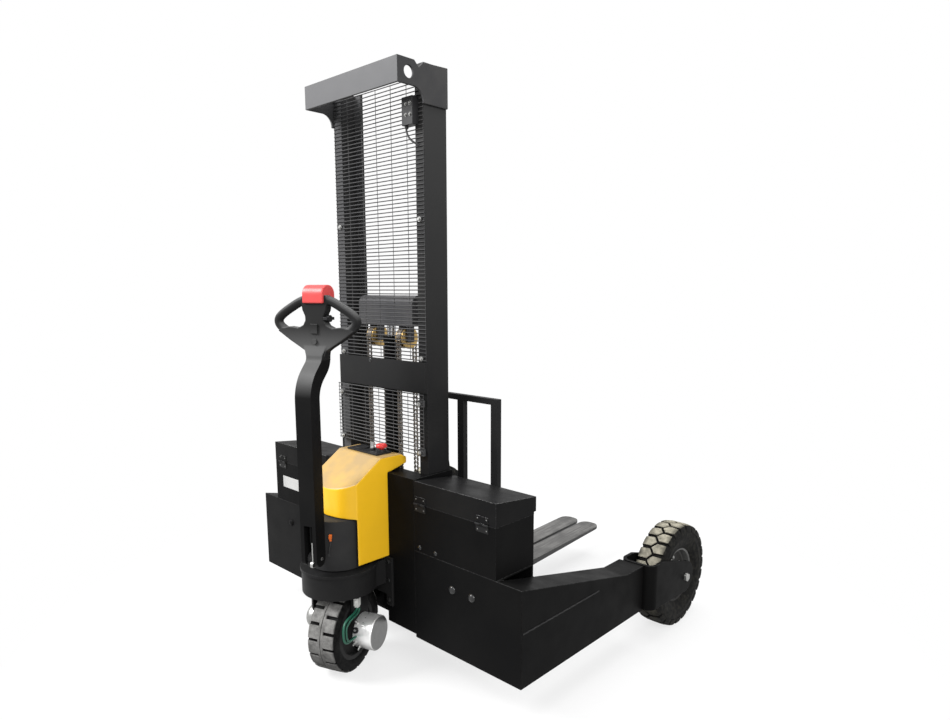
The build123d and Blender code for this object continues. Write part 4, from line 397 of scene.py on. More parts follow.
# the 0.7: how much dust the underside keeps; the rest is painted shade
DRIVE_RUBBER = tyre_rubber(
    "drive_rubber", middle("drive_tyre"), 0.1405, 0.1452, (0.215, 0.212, 0.205), 0.005, 0.7, -STEER_ANGLE,
)

# -------------------------------- making pieces


def added(name, data):
    """A new object in the scene."""
    obj = bpy.data.objects.new(name, data)
    SCENE.collection.objects.link(obj)
    return obj


def settled(obj):
    """The plain mesh that an object's modifiers give. The object is used up."""
    mesh = obj.data
    result = bpy.data.meshes.new_from_object(obj.evaluated_get(bpy.context.evaluated_depsgraph_get()))
    obj.modifiers.clear()
    bpy.data.objects.remove(obj)
    bpy.data.meshes.remove(mesh)
    return result


def smooth(mesh, angle):
    """Smooth shading, apart from edges sharper than an angle in degrees."""
    mesh.shade_smooth()
    mesh.set_sharp_from_angle(angle=radians(angle))
    return mesh


def finish_piece(name, mesh, body, material, slot, *nodes):
    """Adds a finished mesh as a piece on its body, with its material, and hides the nodes it stands for; the slot
    is not used.
    """
    mesh.name = name
    mesh.materials.clear()
    mesh.materials.append(material)
    obj = added(name, mesh)
    if body:
        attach(obj, body)
    if nodes:
        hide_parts(*nodes)
    return obj


def copied(node):
    """The CAD node's faces, merged and without the triangles' seams on flat faces."""
    bm = bmesh.new()
    bm.from_mesh(frame["nodes"][node].data)
    bmesh.ops.remove_doubles(bm, verts=bm.verts, dist=2e-6)
    bmesh.ops.dissolve_limit(bm, angle_limit=radians(0.5), verts=bm.verts, edges=bm.edges)
    return bm


def sharp_edges(bm, outer_only):
    """The edges to round, or only those that stand out."""
    limit = radians(32)
    edges = [e for e in bm.edges if len(e.link_faces) == 2 and e.calc_face_angle(0.0) > limit]
    return [e for e in edges if e.is_convex] if outer_only else edges


def round_edges(bm, edges, radius):
    """Rounds the edges and marks the new faces, where paint wears first."""
    layer = bm.faces.layers.float.get("edge") or bm.faces.layers.float.new("edge")
    made = bmesh.ops.bevel(
        bm, geom=edges, offset=radius, offset_type="OFFSET", segments=2, profile=0.5,
        affect="EDGES", clamp_overlap=True, loop_slide=True,
    )
    for face in made["faces"]:
        face[layer] = 1.0


def as_mesh(name, bm, angle=40):
    """The finished mesh of a bmesh, which is used up."""
    mesh = bpy.data.meshes.new(name)
    bm.to_mesh(mesh)
    bm.free()
    return smooth(mesh, angle)


def evaluated(mesh, *modifiers):
    """The mesh after some modifiers, each a kind and its settings."""
    obj = added("shaping", mesh)
    for kind, settings in modifiers:
        modifier = obj.modifiers.new(kind.lower(), kind)
        for name, value in settings.items():
            setattr(modifier, name, value)
    return settled(obj)


def weighted(mesh):
    """Keeps big flat faces flat beside their rounded edges."""
    return evaluated(mesh, ("WEIGHTED_NORMAL", {"keep_sharp": True}))


def rounded(node, radius, material):
    """A CAD node with its sharp edges rounded, or only the outer ones where nodes slide."""
    bm = copied(node)
    round_edges(bm, sharp_edges(bm, outer_only=node in SLIDING), radius * MM)
    mesh = weighted(as_mesh(node, bm))
    return finish_piece(node + "_rounded", mesh, BODY_OF[node], material, SLOT_OF[node], node)


def moulding(node, voxel, passes, material, share=0.35, form=None):
    """A moulded form: the CAD node's copy, or another form for it, eased until every edge is round."""
    mesh = evaluated(
        form or as_mesh(node, copied(node)),
        ("REMESH", {"mode": "VOXEL", "voxel_size": voxel * MM}),
        ("SMOOTH", {"factor": 0.5, "iterations": passes}),
        ("DECIMATE", {"ratio": share}),
    )
    return finish_piece(node + "_moulding", smooth(mesh, 70), BODY_OF[node], material, SLOT_OF[node], node)


def joined(name, *meshes):
    """One mesh from several, each used up."""
    bm = bmesh.new()
    for mesh in meshes:
        bm.from_mesh(mesh)
        bpy.data.meshes.remove(mesh)
    return as_mesh(name, bm)


def lathe(profile, place=Matrix(), segments=48, angle=30):
    """A closed outline of (along, radius) in millimetres, turned about the X axis of a place."""
    bm = bmesh.new()
    rings = []
    for step in range(segments):
        turn = 2 * pi * step / segments
        ring = [Vector((a * MM, r * MM * cos(turn), r * MM * sin(turn))) for a, r in profile]
        rings.append([bm.verts.new(place @ point) for point in ring])
    for here, there in zip(rings, rings[1:] + rings[:1]):
        for k in range(len(profile)):
            n = (k + 1) % len(profile)
            bm.faces.new((here[k], here[n], there[n], there[k]))
    bmesh.ops.remove_doubles(bm, verts=bm.verts, dist=1e-6)
    bmesh.ops.dissolve_degenerate(bm, dist=1e-7, edges=bm.edges)
    bmesh.ops.recalc_face_normals(bm, faces=bm.faces)
    return as_mesh("turned", bm, angle)


def mirrored(half):
    """A closed outline from its one half; a point on the middle line isn't doubled."""
    return half + [(-a, b) for a, b in half[::-1] if a]


def slab(low, high, radius, place=TRUCK):
    """A block between two corners in millimetres with rounded edges."""
    bm = bmesh.new()
    bmesh.ops.create_cube(bm, size=1)
    for vert in bm.verts:
        vert.co = Vector([a + (c + 0.5) * (b - a) for a, b, c in zip(low, high, vert.co)]) * MM
    round_edges(bm, bm.edges[:], radius * MM)
    bm.transform(place)
    return weighted(as_mesh("slab", bm))


def prism(points, tips=None):
    """A closed shape between rings of equal length, with flat ends or ends that fan in to two tips."""
    bm = bmesh.new()
    rings = [[bm.verts.new(p) for p in ring] for ring in points]
    count = len(rings[0])
    for lower, upper in zip(rings, rings[1:]):
        for k in range(count):
            n = (k + 1) % count
            bm.faces.new((lower[k], lower[n], upper[n], upper[k]))
    for ring, tip in zip((rings[0], rings[-1]), tips or (None, None)):
        if not tip:
            bm.faces.new(ring)
            continue
        apex = bm.verts.new(tip)
        for k in range(count):
            bm.faces.new((ring[k], ring[(k + 1) % count], apex))
    bmesh.ops.recalc_face_normals(bm, faces=bm.faces)
    return bm


def eased(points, steps):
    """A smooth line through some places, with this many steps between two."""
    padded = [2 * points[0] - points[1], *points, 2 * points[-1] - points[-2]]
    line = []
    for a, b, c, d in zip(padded, padded[1:], padded[2:], padded[3:]):
        for step in range(steps):
            t = step / steps
            line.append(0.5 * (2 * b + (c - a) * t + (2 * a - 5 * b + 4 * c - d) * t ** 2
                               + (3 * b - a - 3 * c + d) * t ** 3))
    return line + [points[-1]]


# -------------------------------- trees for what repeats


def started_tree(name, *sizes):
    """A tree with geometry going in and out, and a named input for each size."""
    tree = bpy.data.node_groups.new(name, "GeometryNodeTree")
    tree.interface.new_socket("Geometry", in_out="OUTPUT", socket_type="NodeSocketGeometry")
    for label, kind in (("Geometry", "Geometry"), *sizes, ("Material", "Material")):
        tree.interface.new_socket(label, in_out="INPUT", socket_type="NodeSocket" + kind)
    return tree, new_node(tree, "NodeGroupInput").outputs


def ended_tree(tree, sizes, geometry):
    """Makes the instances real and paints them."""
    realize = new_node(tree, "GeometryNodeRealizeInstances", {"Geometry": geometry})
    sockets = {"Geometry": realize.outputs[0], "Material": sizes["Material"]}
    paint = new_node(tree, "GeometryNodeSetMaterial", sockets)
    new_node(tree, "NodeGroupOutput", {0: paint.outputs[0]})
    return tree


def placed_on(tree, points, shape, **turn):
    """The shape at every point, turned if a Rotation is given."""
    sockets = {"Points": points, "Instance": shape, **turn}
    return new_node(tree, "GeometryNodeInstanceOnPoints", sockets).outputs[0]


def ring_tree():
    """Copies of a shape all the way round the X axis."""
    tree, sizes = started_tree("round_the_axle", ("Count", "Int"))
    points = new_node(tree, "GeometryNodePoints", {"Count": sizes["Count"]}).outputs[0]
    index = new_node(tree, "GeometryNodeInputIndex").outputs[0]
    share = tree_math(tree, "DIVIDE", index, sizes["Count"])
    turn = new_node(tree, "ShaderNodeCombineXYZ", {"X": tree_math(tree, "MULTIPLY", share, 2 * pi)})
    return ended_tree(tree, sizes, placed_on(tree, points, sizes["Geometry"], Rotation=turn.outputs[0]))


def row_tree():
    """Copies of a shape in a straight row."""
    tree, sizes = started_tree("in_a_row", ("Count", "Int"), ("Step", "Vector"))
    sockets = {"Count": sizes["Count"], "Offset": sizes["Step"]}
    line = new_node(tree, "GeometryNodeMeshLine", sockets, mode="OFFSET").outputs[0]
    return ended_tree(tree, sizes, placed_on(tree, line, sizes["Geometry"]))


def spots_tree():
    """A fixing at every given spot, each turned about its own Y axis by chance."""
    tree, sizes = started_tree("fixing_at_spots", ("Fixing", "Object"), ("Seed", "Int"))
    info = new_node(tree, "GeometryNodeObjectInfo", {"Object": sizes["Fixing"]})
    chance = new_node(tree, "FunctionNodeRandomValue", {"Seed": sizes["Seed"]}, data_type="FLOAT")
    floats = [s for s in chance.inputs if s.type == "VALUE"]
    floats[0].default_value, floats[1].default_value = 0.0, 2 * pi
    angle = [s for s in chance.outputs if s.type == "VALUE"][0]
    turn = new_node(tree, "ShaderNodeCombineXYZ", {"Y": angle}).outputs[0]
    spots = placed_on(tree, sizes["Geometry"], info.outputs["Geometry"], Rotation=turn)
    return ended_tree(tree, sizes, spots)


def cord_tree():
    """A round cord along a line of edges."""
    tree, sizes = started_tree("cord_along_a_line", ("Radius", "Float"), ("Sides", "Int"))
    line = new_node(tree, "GeometryNodeMeshToCurve", {"Mesh": sizes["Geometry"]}).outputs[0]
    sockets = {"Radius": sizes["Radius"], "Resolution": sizes["Sides"]}
    ring = new_node(tree, "GeometryNodeCurvePrimitiveCircle", sockets).outputs[0]
    sockets = {"Curve": line, "Profile Curve": ring, "Fill Caps": True}
    return ended_tree(tree, sizes, new_node(tree, "GeometryNodeCurveToMesh", sockets).outputs[0])


RING, ROW, SPOTS, CORD = ring_tree(), row_tree(), spots_tree(), cord_tree()


def grown(tree, mesh, material, **sizes):
    """The plain mesh that a tree grows from a starting mesh."""
    obj = added(tree.name, mesh)
    modifier = obj.modifiers.new(tree.name, "NODES")
    modifier.node_group = tree
    values = {**sizes, "Material": material}
    for item in tree.interface.items_tree:
        if item.in_out == "INPUT" and item.name in values:
            modifier[item.identifier] = values[item.name]
    return settled(obj)


def cord(places, radius, material, sides=10, steps=8):
    """A cord eased through places that are already in metres."""
    line = eased(places, steps)
    mesh = bpy.data.meshes.new("line")
    mesh.from_pydata(line, [(k, k + 1) for k in range(len(line) - 1)], [])
    return smooth(grown(CORD, mesh, material, Radius=radius * MM, Sides=sides), 50)


def fixings(places, shape, material, seed):
    """The same fixing at each place; the shape stands out of a face towards -Y."""
    mesh = bpy.data.meshes.new("spots")
    mesh.from_pydata(places, [], [])
    obj = added("fixing", shape)
    result = grown(SPOTS, mesh, material, Fixing=obj, Seed=seed)
    bpy.data.objects.remove(obj)
    bpy.data.meshes.remove(shape)
    return smooth(result, 35)


TO_REAR = Matrix.Rotation(radians(-90), 4, "Z")  # X to -Y
UPRIGHT = Matrix.Rotation(radians(-90), 4, "Y")  # X to Z


def hex_head(radius, height, washer=0.0, plate=0.0):
    """Hexagon head with a chamfered top, on its washer."""
    top = plate + height
    outline = [(plate, 0), (plate, radius), (top - 1, radius), (top, radius * 0.82), (top, 0)]
    parts = [lathe(outline, TO_REAR, 6, 20)]
    if washer:
        parts.append(lathe([(0, 0), (0, washer), (plate, washer - 0.4), (plate, 0)], TO_REAR, 18, 30))
    return joined("hex_head", *parts)


def dome_head(radius, height):
    """Round-topped head."""
    steps = [(height * sin(a), radius * cos(a)) for a in (0.0, 0.4, 0.8, 1.2)]
    return lathe([(0, 0), *steps, (height, 0)], TO_REAR, 16, 60)


# -------------------------------- plain nodes, rounded

ROUNDED = {  # the edges' radius in millimetres, and the finish
    "chassis_frame": (2.0, BLACK), "right_leg": (2.2, BLACK), "left_leg": (2.2, LEG_BLACK),
    "wheel_forks": (1.6, BLACK), "battery_boxes": (1.2, BLACK), "right_lid": (1.6, LID_BLACK),
    "left_lid": (1.6, LID_BLACK), "right_mast_channel": (1.8, MAST_BLACK),
    "left_mast_channel": (1.8, LEFT_MAST_BLACK), "mast_crown": (2.2, PALE_BLACK),
    "mast_cross_plate": (1.5, MAST_BLACK), "lift_cylinder": (1.0, BLACK),
    "crosshead": (5.0, SLATE), "fork_carriage": (1.5, BLACK), "load_backrest": (1.5, BLACK_CAST),
    "steering_housing": (2.6, BLACK_CAST), "steering_head": (2.5, GREY_BLACK),
    "drive_bracket": (1.5, BLACK_CAST), "drive_brake": (1.2, BRAKE_CASE), "tiller_arm": (3.5, ARM_BLACK),
    "right_fork": (2.0, FORK), "left_fork": (2.0, FORK), "front_axles": (1.0, ZINC),
    "lid_hinges": (0.4, HINGE_BLACK), "tilt_pin": (0.8, ZINC), "lower_rollers": (1.0, ZINC),
    "upper_rollers": (1.0, ZINC), "steering_bearing": (1.0, ZINC), "chain_pulleys": (1.0, GOLD),
    "lift_rod": (1.0, CHROME), "gas_spring_rod": (0.8, ZINC), "gas_spring_tube": (1.2, BLACK),
    "emergency_stop": (3.0, RED), "control_panel": (1.2, BLACK_PLASTIC),
    "throttle": (1.5, BLACK_PLASTIC), "lift_rocker": (1.0, HEAD_BLACK),
    "horn_button": (1.0, HEAD_BLACK), "limit_switch": (1.0, BLACK_PLASTIC),
    "batteries": (2.0, CASE_PLASTIC), "drive_hub": (1.2, HUB_IRON), "drive_motor": (1.2, ALUMINIUM),
    "motor_controller": (1.0, ALUMINIUM), "power_pack": (2.0, GREY_PAINT), "key": (0.4, ZINC),
}
# nodes that slide in one another
SLIDING = ("emergency_stop", "control_panel", "lift_rod", "lift_cylinder")
for node, (radius, material) in ROUNDED.items():
    rounded(node, radius, material)

# CAD nodes that show as they are
KEPT = {"chain_wraps": CHAIN, "hydraulic_hose": HOSE_RUBBER}
for node, material in KEPT.items():
    mesh = frame["nodes"][node].data
    mesh.materials.clear()
    mesh.materials.append(material)

moulding("belly_button", 1.3, 40, PALE_RED)
moulding("drive_cover", 1.5, 44, YELLOW, 0.12)

# -------------------------------- tiller head


def tiller_head():
    """Round hand loops on a flat middle that runs into wings below, the neck and the button's post."""
    loop = [(30, 1272), (60, 1263), (95, 1245), (125, 1227), (142, 1212), (145, 1198), (135, 1184), (110, 1168),
            (80, 1150), (50, 1130), (25, 1112)]
    edge = mirrored([
        (30, 1084), (40, 1111), (94, 1142), (140, 1172), (124, 1180), (97, 1186), (63, 1182), (43, 1191),
        (34, 1206), (35, 1220), (44, 1238), (48, 1262), (42, 1284),
    ])

    def level(z, wide, rear, front):
        return [steered(x, y, z) for x, y in ((-wide, rear), (wide, rear), (wide, front), (-wide, front))]

    neck = [level(1080, 29.6, -101.6, -52.4), level(1096, 31, -101, -54), level(1128, 44, -92, -62)]
    parts = [cord([steered(side * x, -77, z) for x, z in loop], 14.5, BLACK_PLASTIC, 24) for side in SIDES]
    parts += [
        as_mesh("plate", prism([[steered(x, y, z) for x, z in edge] for y in (-92, -62)])),
        as_mesh("neck", prism(neck)),
        slab((-34, -91, 1235), (34, -63, 1290), 2, STEERED),
    ]
    moulding("tiller_head", 1.6, 12, HEAD_BLACK, 0.25, joined("head", *parts))


tiller_head()

# -------------------------------- front tyres and rims

FRONT_CARCASS = mirrored([
    (36, 104), (40, 110), (45, 116), (45.6, 121), (47.6, 123), (49.5, 133), (52.4, 147), (53.2, 150),
    (53.2, 154), (52.6, 156), (52.6, 168), (50.5, 178), (46, 184), (38, 187.5), (0, 189),
])
RIM_SECTION = mirrored([
    (56, 15), (56, 29), (53, 32), (22, 34), (9, 46), (8, 80), (13, 91), (30, 95), (34.5, 97), (36, 103.8),
])
FRONT_ROLL = 200  # the front tyre's radius, in millimetres
FRONT_TREAD = 199.6  # the radius of the blocks' tops
FRONT_BLOCKS = 24


def round_axle(across, along, radius):
    """A place in metres from a wheel's middle, by millimetres across its tread and along its rim."""
    turn = along / radius
    return Vector((across, radius * sin(turn), radius * cos(turn))) * MM


def front_block(side):
    """One pointed block of the open tread, with its lug down the shoulder."""
    outline = [(-5, 0), (3, -9.8), (11, -19.6), (29, -18), (47, -16.5), (48, 2), (47, 20.5), (29, 20),
               (11, 19.6), (3, 9.8)]
    shift = 0 if side > 0 else pi * FRONT_ROLL / FRONT_BLOCKS
    centre = 22

    def ring(inset, top):
        places = []
        for x, s in outline:
            sunk = max(0.0, x - centre) / 25
            radius = (FRONT_TREAD - 3.6 * sunk ** 2) if top else (185 - 12 * sunk ** 3)
            wide = x if top or x < 40 else x + 5.3
            across = wide - inset if x > 20 else wide + inset
            along = s * (1 - inset / 24)
            places.append(round_axle(side * across, along * side + shift, radius))
        return places

    top = ring(0.9, True)
    shoulder = [p.lerp(q, 0.12) for p, q in zip(ring(0.0, True), ring(-0.6, False))]
    return prism(
        [ring(-0.6, False), shoulder, top],
        (round_axle(side * centre, shift, 180), round_axle(side * centre, shift, FRONT_TREAD)),
    )


def treaded(carcass, block, count, rubber, place):
    """A tyre with a row of blocks all round on either side."""
    blocks = joined("blocks", *[as_mesh("block", block(side), 30) for side in SIDES])
    tread = grown(RING, blocks, rubber, Count=count)
    tread.transform(place)
    return joined("tyre", lathe(carcass, place, 96, 25), tread)


def front_wheel(name):
    """Tyre, rim and rim bolts of one front wheel."""
    centre = middle(name + "_front_tyre")
    place = Matrix.Translation(centre)
    # the last number: how much dust the underside keeps, low as painted shade
    rubber = tyre_rubber(name + "_rubber", centre, 0.1945, 0.1985, (0.40, 0.375, 0.30), 0.0085, 0.06)
    tyre = treaded(FRONT_CARCASS, front_block, FRONT_BLOCKS, rubber, place)
    body = name + "_front_wheel"
    finish_piece(name + "_air_tyre", tyre, body, rubber, "front_tyre", name + "_front_tyre")
    rim = lathe(RIM_SECTION, place, 64, 28)
    paint = rim_paint(name + "_rim_silver", middle(name + "_front_rim"))
    finish_piece(name + "_pressed_rim", rim, body, paint, "front_rim", name + "_front_rim")
    bolts = []
    for side in SIDES:
        head = hex_head(8, 7, washer=12, plate=2)
        spot = Matrix.Translation((side * 8.2 * MM, 0, 63 * MM))
        head.transform(spot @ Matrix.Rotation(side * pi / 2, 4, "Z"))
        bolts.append(grown(RING, head, ZINC, Count=5))
    bolts = joined("rim_bolts", *bolts)
    bolts.transform(place)
    finish_piece(name + "_rim_bolts", bolts, body, ZINC, "zinc_steel")


front_wheel("right")
front_wheel("left")

# -------------------------------- drive wheel

WHEEL_PLACE = STEERED @ Matrix.Translation(STEERED.inverted() @ middle("drive_tyre"))
DRIVE_CARCASS = mirrored([
    (48.5, 105), (50.5, 108), (51.6, 118), (51.6, 126), (50.6, 128), (50.6, 134), (49.5, 137.5), (9, 138.5),
    (9, 146.8), (1.4, 147), (1.4, 140), (0, 139.5),
])
DRIVE_ROLL = 147  # the drive tyre's radius, in millimetres
DRIVE_TREAD = 146.8  # the radius of the blocks' tops
DRIVE_BLOCKS = 17


def drive_block(side):
    """One block of the drive tyre's row, between two cross slots."""
    half = 21.2
    shift = 0 if side > 0 else pi * DRIVE_ROLL / DRIVE_BLOCKS
    centre = side * 29
    steps = (-1, -0.5, 0, 0.5, 1)

    def ring(radius, outer, outer_radius):
        """One level of the block, along its inner side and back along its outer one."""
        rows = [(8, s, radius) for s in steps] + [(outer, s, outer_radius) for s in steps[::-1]]
        return [round_axle(side * x, s * half * side + shift, r) for x, s, r in rows]

    return prism(
        [ring(137, 50.9, 131), ring(146, 48.2, 144), ring(DRIVE_TREAD, 46.5, 146.2)],
        (round_axle(centre, shift, 134), round_axle(centre, shift, DRIVE_TREAD)),
    )


tyre = treaded(DRIVE_CARCASS, drive_block, DRIVE_BLOCKS, DRIVE_RUBBER, WHEEL_PLACE)
finish_piece("drive_wheel_tyre", tyre, "drive_wheel", DRIVE_RUBBER, "drive_tyre", "drive_tyre")


def motor_fittings():
    """Gland and studs on the side of the motor can, and its looped lead with the plug."""

    def standing(x, turn):
        """A place on the can's side, with X pointing out of it."""
        can_side = 58.5
        turned = Matrix.Rotation(radians(turn), 4, "X") @ Matrix.Translation((0, 0, can_side * MM))
        return MOTOR_AXIS @ Matrix.Translation((x * MM, 0, 0)) @ turned @ UPRIGHT

    gland = [(0, 0), (0, 10.5), (5, 10.5), (6, 9.5), (6, 6), (2, 5.5), (2, 0)]
    pin = [(1, 0), (1, 4), (9, 4), (10, 3), (10, 0)]
    stud = [(0, 0), (0, 5.5), (4, 5.5), (4.5, 3), (13, 3), (13.6, 2.4), (13.6, 0)]
    dark = joined("gland", lathe(gland, standing(92, 66), 20))
    finish_piece("motor_gland", dark, "steering", BLACK_PLASTIC, "black_plastic")
    bright = joined(
        "studs", lathe(pin, standing(92, 66), 14),
        *[lathe(stud, standing(x, turn), 14) for x, turn in ((88, 110), (87, 42), (100, 128))],
    )
    finish_piece("motor_studs", bright, "steering", ZINC, "zinc_steel")
    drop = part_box("motor_lead")[1].z / MM - 31
    bend = [
        (-37, drop), (-41, drop - 11), (-62, drop - 17), (-95, drop - 21), (-115, drop - 32),
        (-121, drop - 52), (-121, 178), (-115, 158), (-98, 148), (-75, 147), (-57, 147),
    ]
    route = [(89, y, z) for y, z in bend]
    second = [(x + 7, y + (6 if y < -50 else 3), z - (5 if z > 200 else -5)) for x, y, z in route]
    lead = cord([steered(*p) for p in route], 4.2, GREEN_LEAD)
    pair = cord([steered(*p) for p in second], 3.0, GREEN_LEAD)
    finish_piece("motor_lead_loop", joined("lead", lead, pair), "steering", GREEN_LEAD, "lead_green", "motor_lead")
    plug = joined(
        "plug", slab((81.2, -46, drop + 3), (98, -28, drop + 31), 1.0, STEERED),
        slab((83, -44, drop - 2), (96, -30, drop + 4), 0.8, STEERED),
        slab((86, -49, drop + 12), (93, -45, drop + 26), 1.0, STEERED),
    )
    finish_piece("motor_plug", plug, "steering", WHITE_PLASTIC, "lead_green")


motor_fittings()

# -------------------------------- wire guards and chains


def wire_guard(name, bottom, rows, rear):
    """Welded mesh: round cross wires on thinner uprights."""
    half, pitch, columns = 232.0, 12.7, 6
    tall = rows * pitch
    end = half + 1.9
    outline = [(-end, 0), (-end, 1.2), (-half - 1.2, 1.8), (half + 1.2, 1.8), (end, 1.2), (end, 0)]
    cross = lathe(outline, Matrix.Translation((0, 1.9 * MM, 0)), 8, 40)
    outline = [(-2, 0), (-2, 1.0), (tall + 2, 1.0), (tall + 2, 0)]
    upright = lathe(outline, Matrix.Translation((-half * MM, 2.9 * MM, 0)) @ UPRIGHT, 8, 40)
    step = 2 * half / columns * MM
    wires = joined(
        name, grown(ROW, cross, WIRE_BLACK, Count=rows + 1, Step=(0, 0, pitch * MM)),
        grown(ROW, upright, WIRE_BLACK, Count=columns + 1, Step=(step, 0, 0)),
    )
    wires.transform(Matrix.Translation(truck(0, rear, bottom + 2)))
    return wires


# the guards' rear faces and their bolts' heights, and how far the bolts are from the middle
UPPER_REAR, LOWER_REAR = 73, 58
UPPER_BOLTS, LOWER_BOLTS = (1077.35, 1521.85), (762.35, 927.45)
BOLT_X = 212
upper = wire_guard("upper_wires", bottom=1069, rows=69, rear=UPPER_REAR)
finish_piece("upper_wire_guard", upper, "chassis", WIRE_BLACK, "black_paint", "upper_guard_mesh")
tabs = [
    slab((side * BOLT_X - 12, 61.5, z - 12), (side * BOLT_X + 12, 77, z + 12), 2.0)
    for side in SIDES for z in LOWER_BOLTS
]
lower = joined("lower_wires", wire_guard("wires", bottom=754, rows=16, rear=LOWER_REAR), *tabs)
finish_piece("lower_wire_guard", lower, "chassis", WIRE_BLACK, "black_paint", "lower_guard_mesh")


def chain_link(wide):
    """One link: two pairs of side plates on a pin."""
    half_pitch = 3.9
    parts = []
    for x in (-wide, -wide + 3.2, wide - 3.2, wide):
        stagger = 0.0 if abs(x) == wide else 0.5
        outline = []
        for k in range(12):
            turn = 2 * pi * k / 12
            lobe = half_pitch if sin(turn) >= 0 else -half_pitch
            outline.append((2.9 * cos(turn), 2.9 * sin(turn) + lobe + stagger * 7.9))
        faces = [[Vector((x + half, y, z)) * MM for y, z in outline] for half in (-1.1, 1.1)]
        parts.append(as_mesh("plate", prism(faces), 30))
    end = wide + 1.4
    pin = Matrix.Translation((0, 0, half_pitch * MM))
    parts.append(lathe([(-end, 0), (-end, 1.6), (end, 1.6), (end, 0)], pin, 8, 40))
    return joined("link", *parts)


def chain_pair(node):
    """Both runs of a chain as links, in place of the plain strips."""
    low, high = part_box(node)
    pitch, half_wide, last_link, foot = 15.6 * MM, 11 * MM, 11 * MM, 7.5 * MM
    count = int((high.z - low.z) / pitch)
    step = (high.z - low.z - last_link) / (count - 0.5)
    runs = []
    for side in SIDES:
        run = grown(ROW, chain_link(9.0), CHAIN, Count=count, Step=(0, 0, step))
        place = (side * (high.x - half_wide), (low.y + high.y) / 2, low.z + foot)
        run.transform(Matrix.Translation(place))
        runs.append(run)
    return joined(node + "_links", *runs), low, high


links, low, high = chain_pair("fixed_chains")
fixed = finish_piece("fixed_chain_links", links, None, CHAIN, SLOT_OF["fixed_chains"], "fixed_chains")
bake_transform(fixed)
links, low, high = chain_pair("lifted_chains")
lifted = finish_piece("lifted_chain_links", links, "lift_ram", CHAIN, SLOT_OF["lifted_chains"], "lifted_chains")
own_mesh(lifted)

# -------------------------------- bolts, screws and plates


def both(places):
    """Places given for the right side, on both sides."""
    return [truck(side * x, y, z) for x, y, z in places for side in SIDES]


def leg_bolts(side, material, seed):
    """The two round heads behind one leg."""
    return fixings([truck(side * x, 0, 365) for x in (422, 507)], dome_head(14, 7.6), material, seed)


def frame_bolts():
    """Bright bolts on the guards, black ones on the rear plate, the legs and the housing's flange."""
    spots = [(BOLT_X, UPPER_REAR, z) for z in UPPER_BOLTS] + [(BOLT_X, LOWER_REAR, z) for z in LOWER_BOLTS]
    guard = fixings(both(spots), hex_head(5.5, 5, washer=8.5, plate=1.8), ZINC, seed=3)
    finish_piece("guard_bolts", guard, "chassis", ZINC, "zinc_steel", "frame_bolts")
    flange = both([(121, -8, z) for z in (238, 311, 378)])
    small = [truck(271, 0, 465), truck(346, 0, 465), truck(-53, 69.2, 1055)]
    painted = joined(
        "painted_bolts", leg_bolts(1, BOLT_BLACK, seed=5), fixings(flange, hex_head(7, 5), BOLT_BLACK, seed=7),
        fixings(small, dome_head(8, 3), BOLT_BLACK, seed=9),
    )
    finish_piece("painted_bolts", painted, "chassis", BOLT_BLACK, "black_paint", "frame_bolts")
    left = leg_bolts(-1, LEG_BLACK, seed=6)
    finish_piece("left_leg_bolts", left, "chassis", LEG_BLACK, "black_paint", "frame_bolts")


frame_bolts()


def hinge_screws():
    """Two screws in the corners of each hinge leaf."""
    corners = [(x + dx, -1.9) for x in (277, 552) for dx in (-18, 18)]
    lower = fixings(both([(x, y, 595) for x, y in corners]), dome_head(2.6, 1.3), DULL_ZINC, seed=11)
    finish_piece("lower_hinge_screws", lower, "chassis", DULL_ZINC, "zinc_steel")
    for side, name in zip(SIDES, ("right", "left")):
        upper = [truck(side * x, y, 629) for x, y in corners]
        screws = fixings(upper, dome_head(2.6, 1.3), DULL_ZINC, seed=13)
        finish_piece(name + "_lid_screws", screws, name + "_lid", DULL_ZINC, "zinc_steel")


hinge_screws()


def limit_switch_fittings():
    """Four small bolts on the limit switch, and its lead to the mast."""
    low = TRUCK.inverted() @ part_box("limit_switch")[0] / MM
    spots = [truck(x, low.y, z) for x in (low.x + 20, low.x + 40) for z in (low.z + 30, low.z + 62)]
    bolts = fixings(spots, hex_head(4.0, 3.2, washer=6, plate=1.2), DULL_ZINC, seed=17)
    finish_piece("switch_bolts", bolts, "chassis", DULL_ZINC, "zinc_steel")
    route = [(8, 60, 2), (7, 60, -14), (15, 61, -32), (30, 64, -47), (46, 71, -57), (52, 76.5, -62)]
    lead = cord([truck(low.x + x, y, low.z + z) for x, y, z in route], 3.2, HOSE_RUBBER)
    hanging = Matrix.Translation(truck(low.x + 8, 60, low.z + 1)) @ Matrix.Rotation(radians(90), 4, "Y")
    collar = lathe([(0, 0), (0, 6), (7, 6), (9, 4.4), (9, 0)], hanging, 14)
    finish_piece("switch_lead", joined("lead", lead, collar), "chassis", HOSE_RUBBER, "hose_rubber")


limit_switch_fittings()


def blank_plate():
    """Bare plate riveted to the rear of the left battery box."""
    plate = slab((-553, -1.6, 509), (-439, 0, 555), 0.5)
    corners = [truck(x, -1.6, z) for x in (-548, -444) for z in (514, 550)]
    rivets = fixings(corners, dome_head(2.2, 1.0), WHITE_METAL, seed=19)
    finish_piece("blank_box_plate", joined("plate", plate, rivets), "chassis", WHITE_METAL, "bare_aluminium")


blank_plate()


def leg_seams():
    """Weld run along the outer face of each leg's rear block."""
    seams = []
    for side in SIDES:
        route = [truck(side * 705.6, y, 315 + 0.5 * sin(y * 0.21)) for y in range(6, 405, 6)]
        seams.append(cord(route, 2.5, GREY_BLACK, 8, 1))
    finish_piece("leg_weld_runs", joined("seams", *seams), "chassis", GREY_BLACK, "black_paint")


leg_seams()


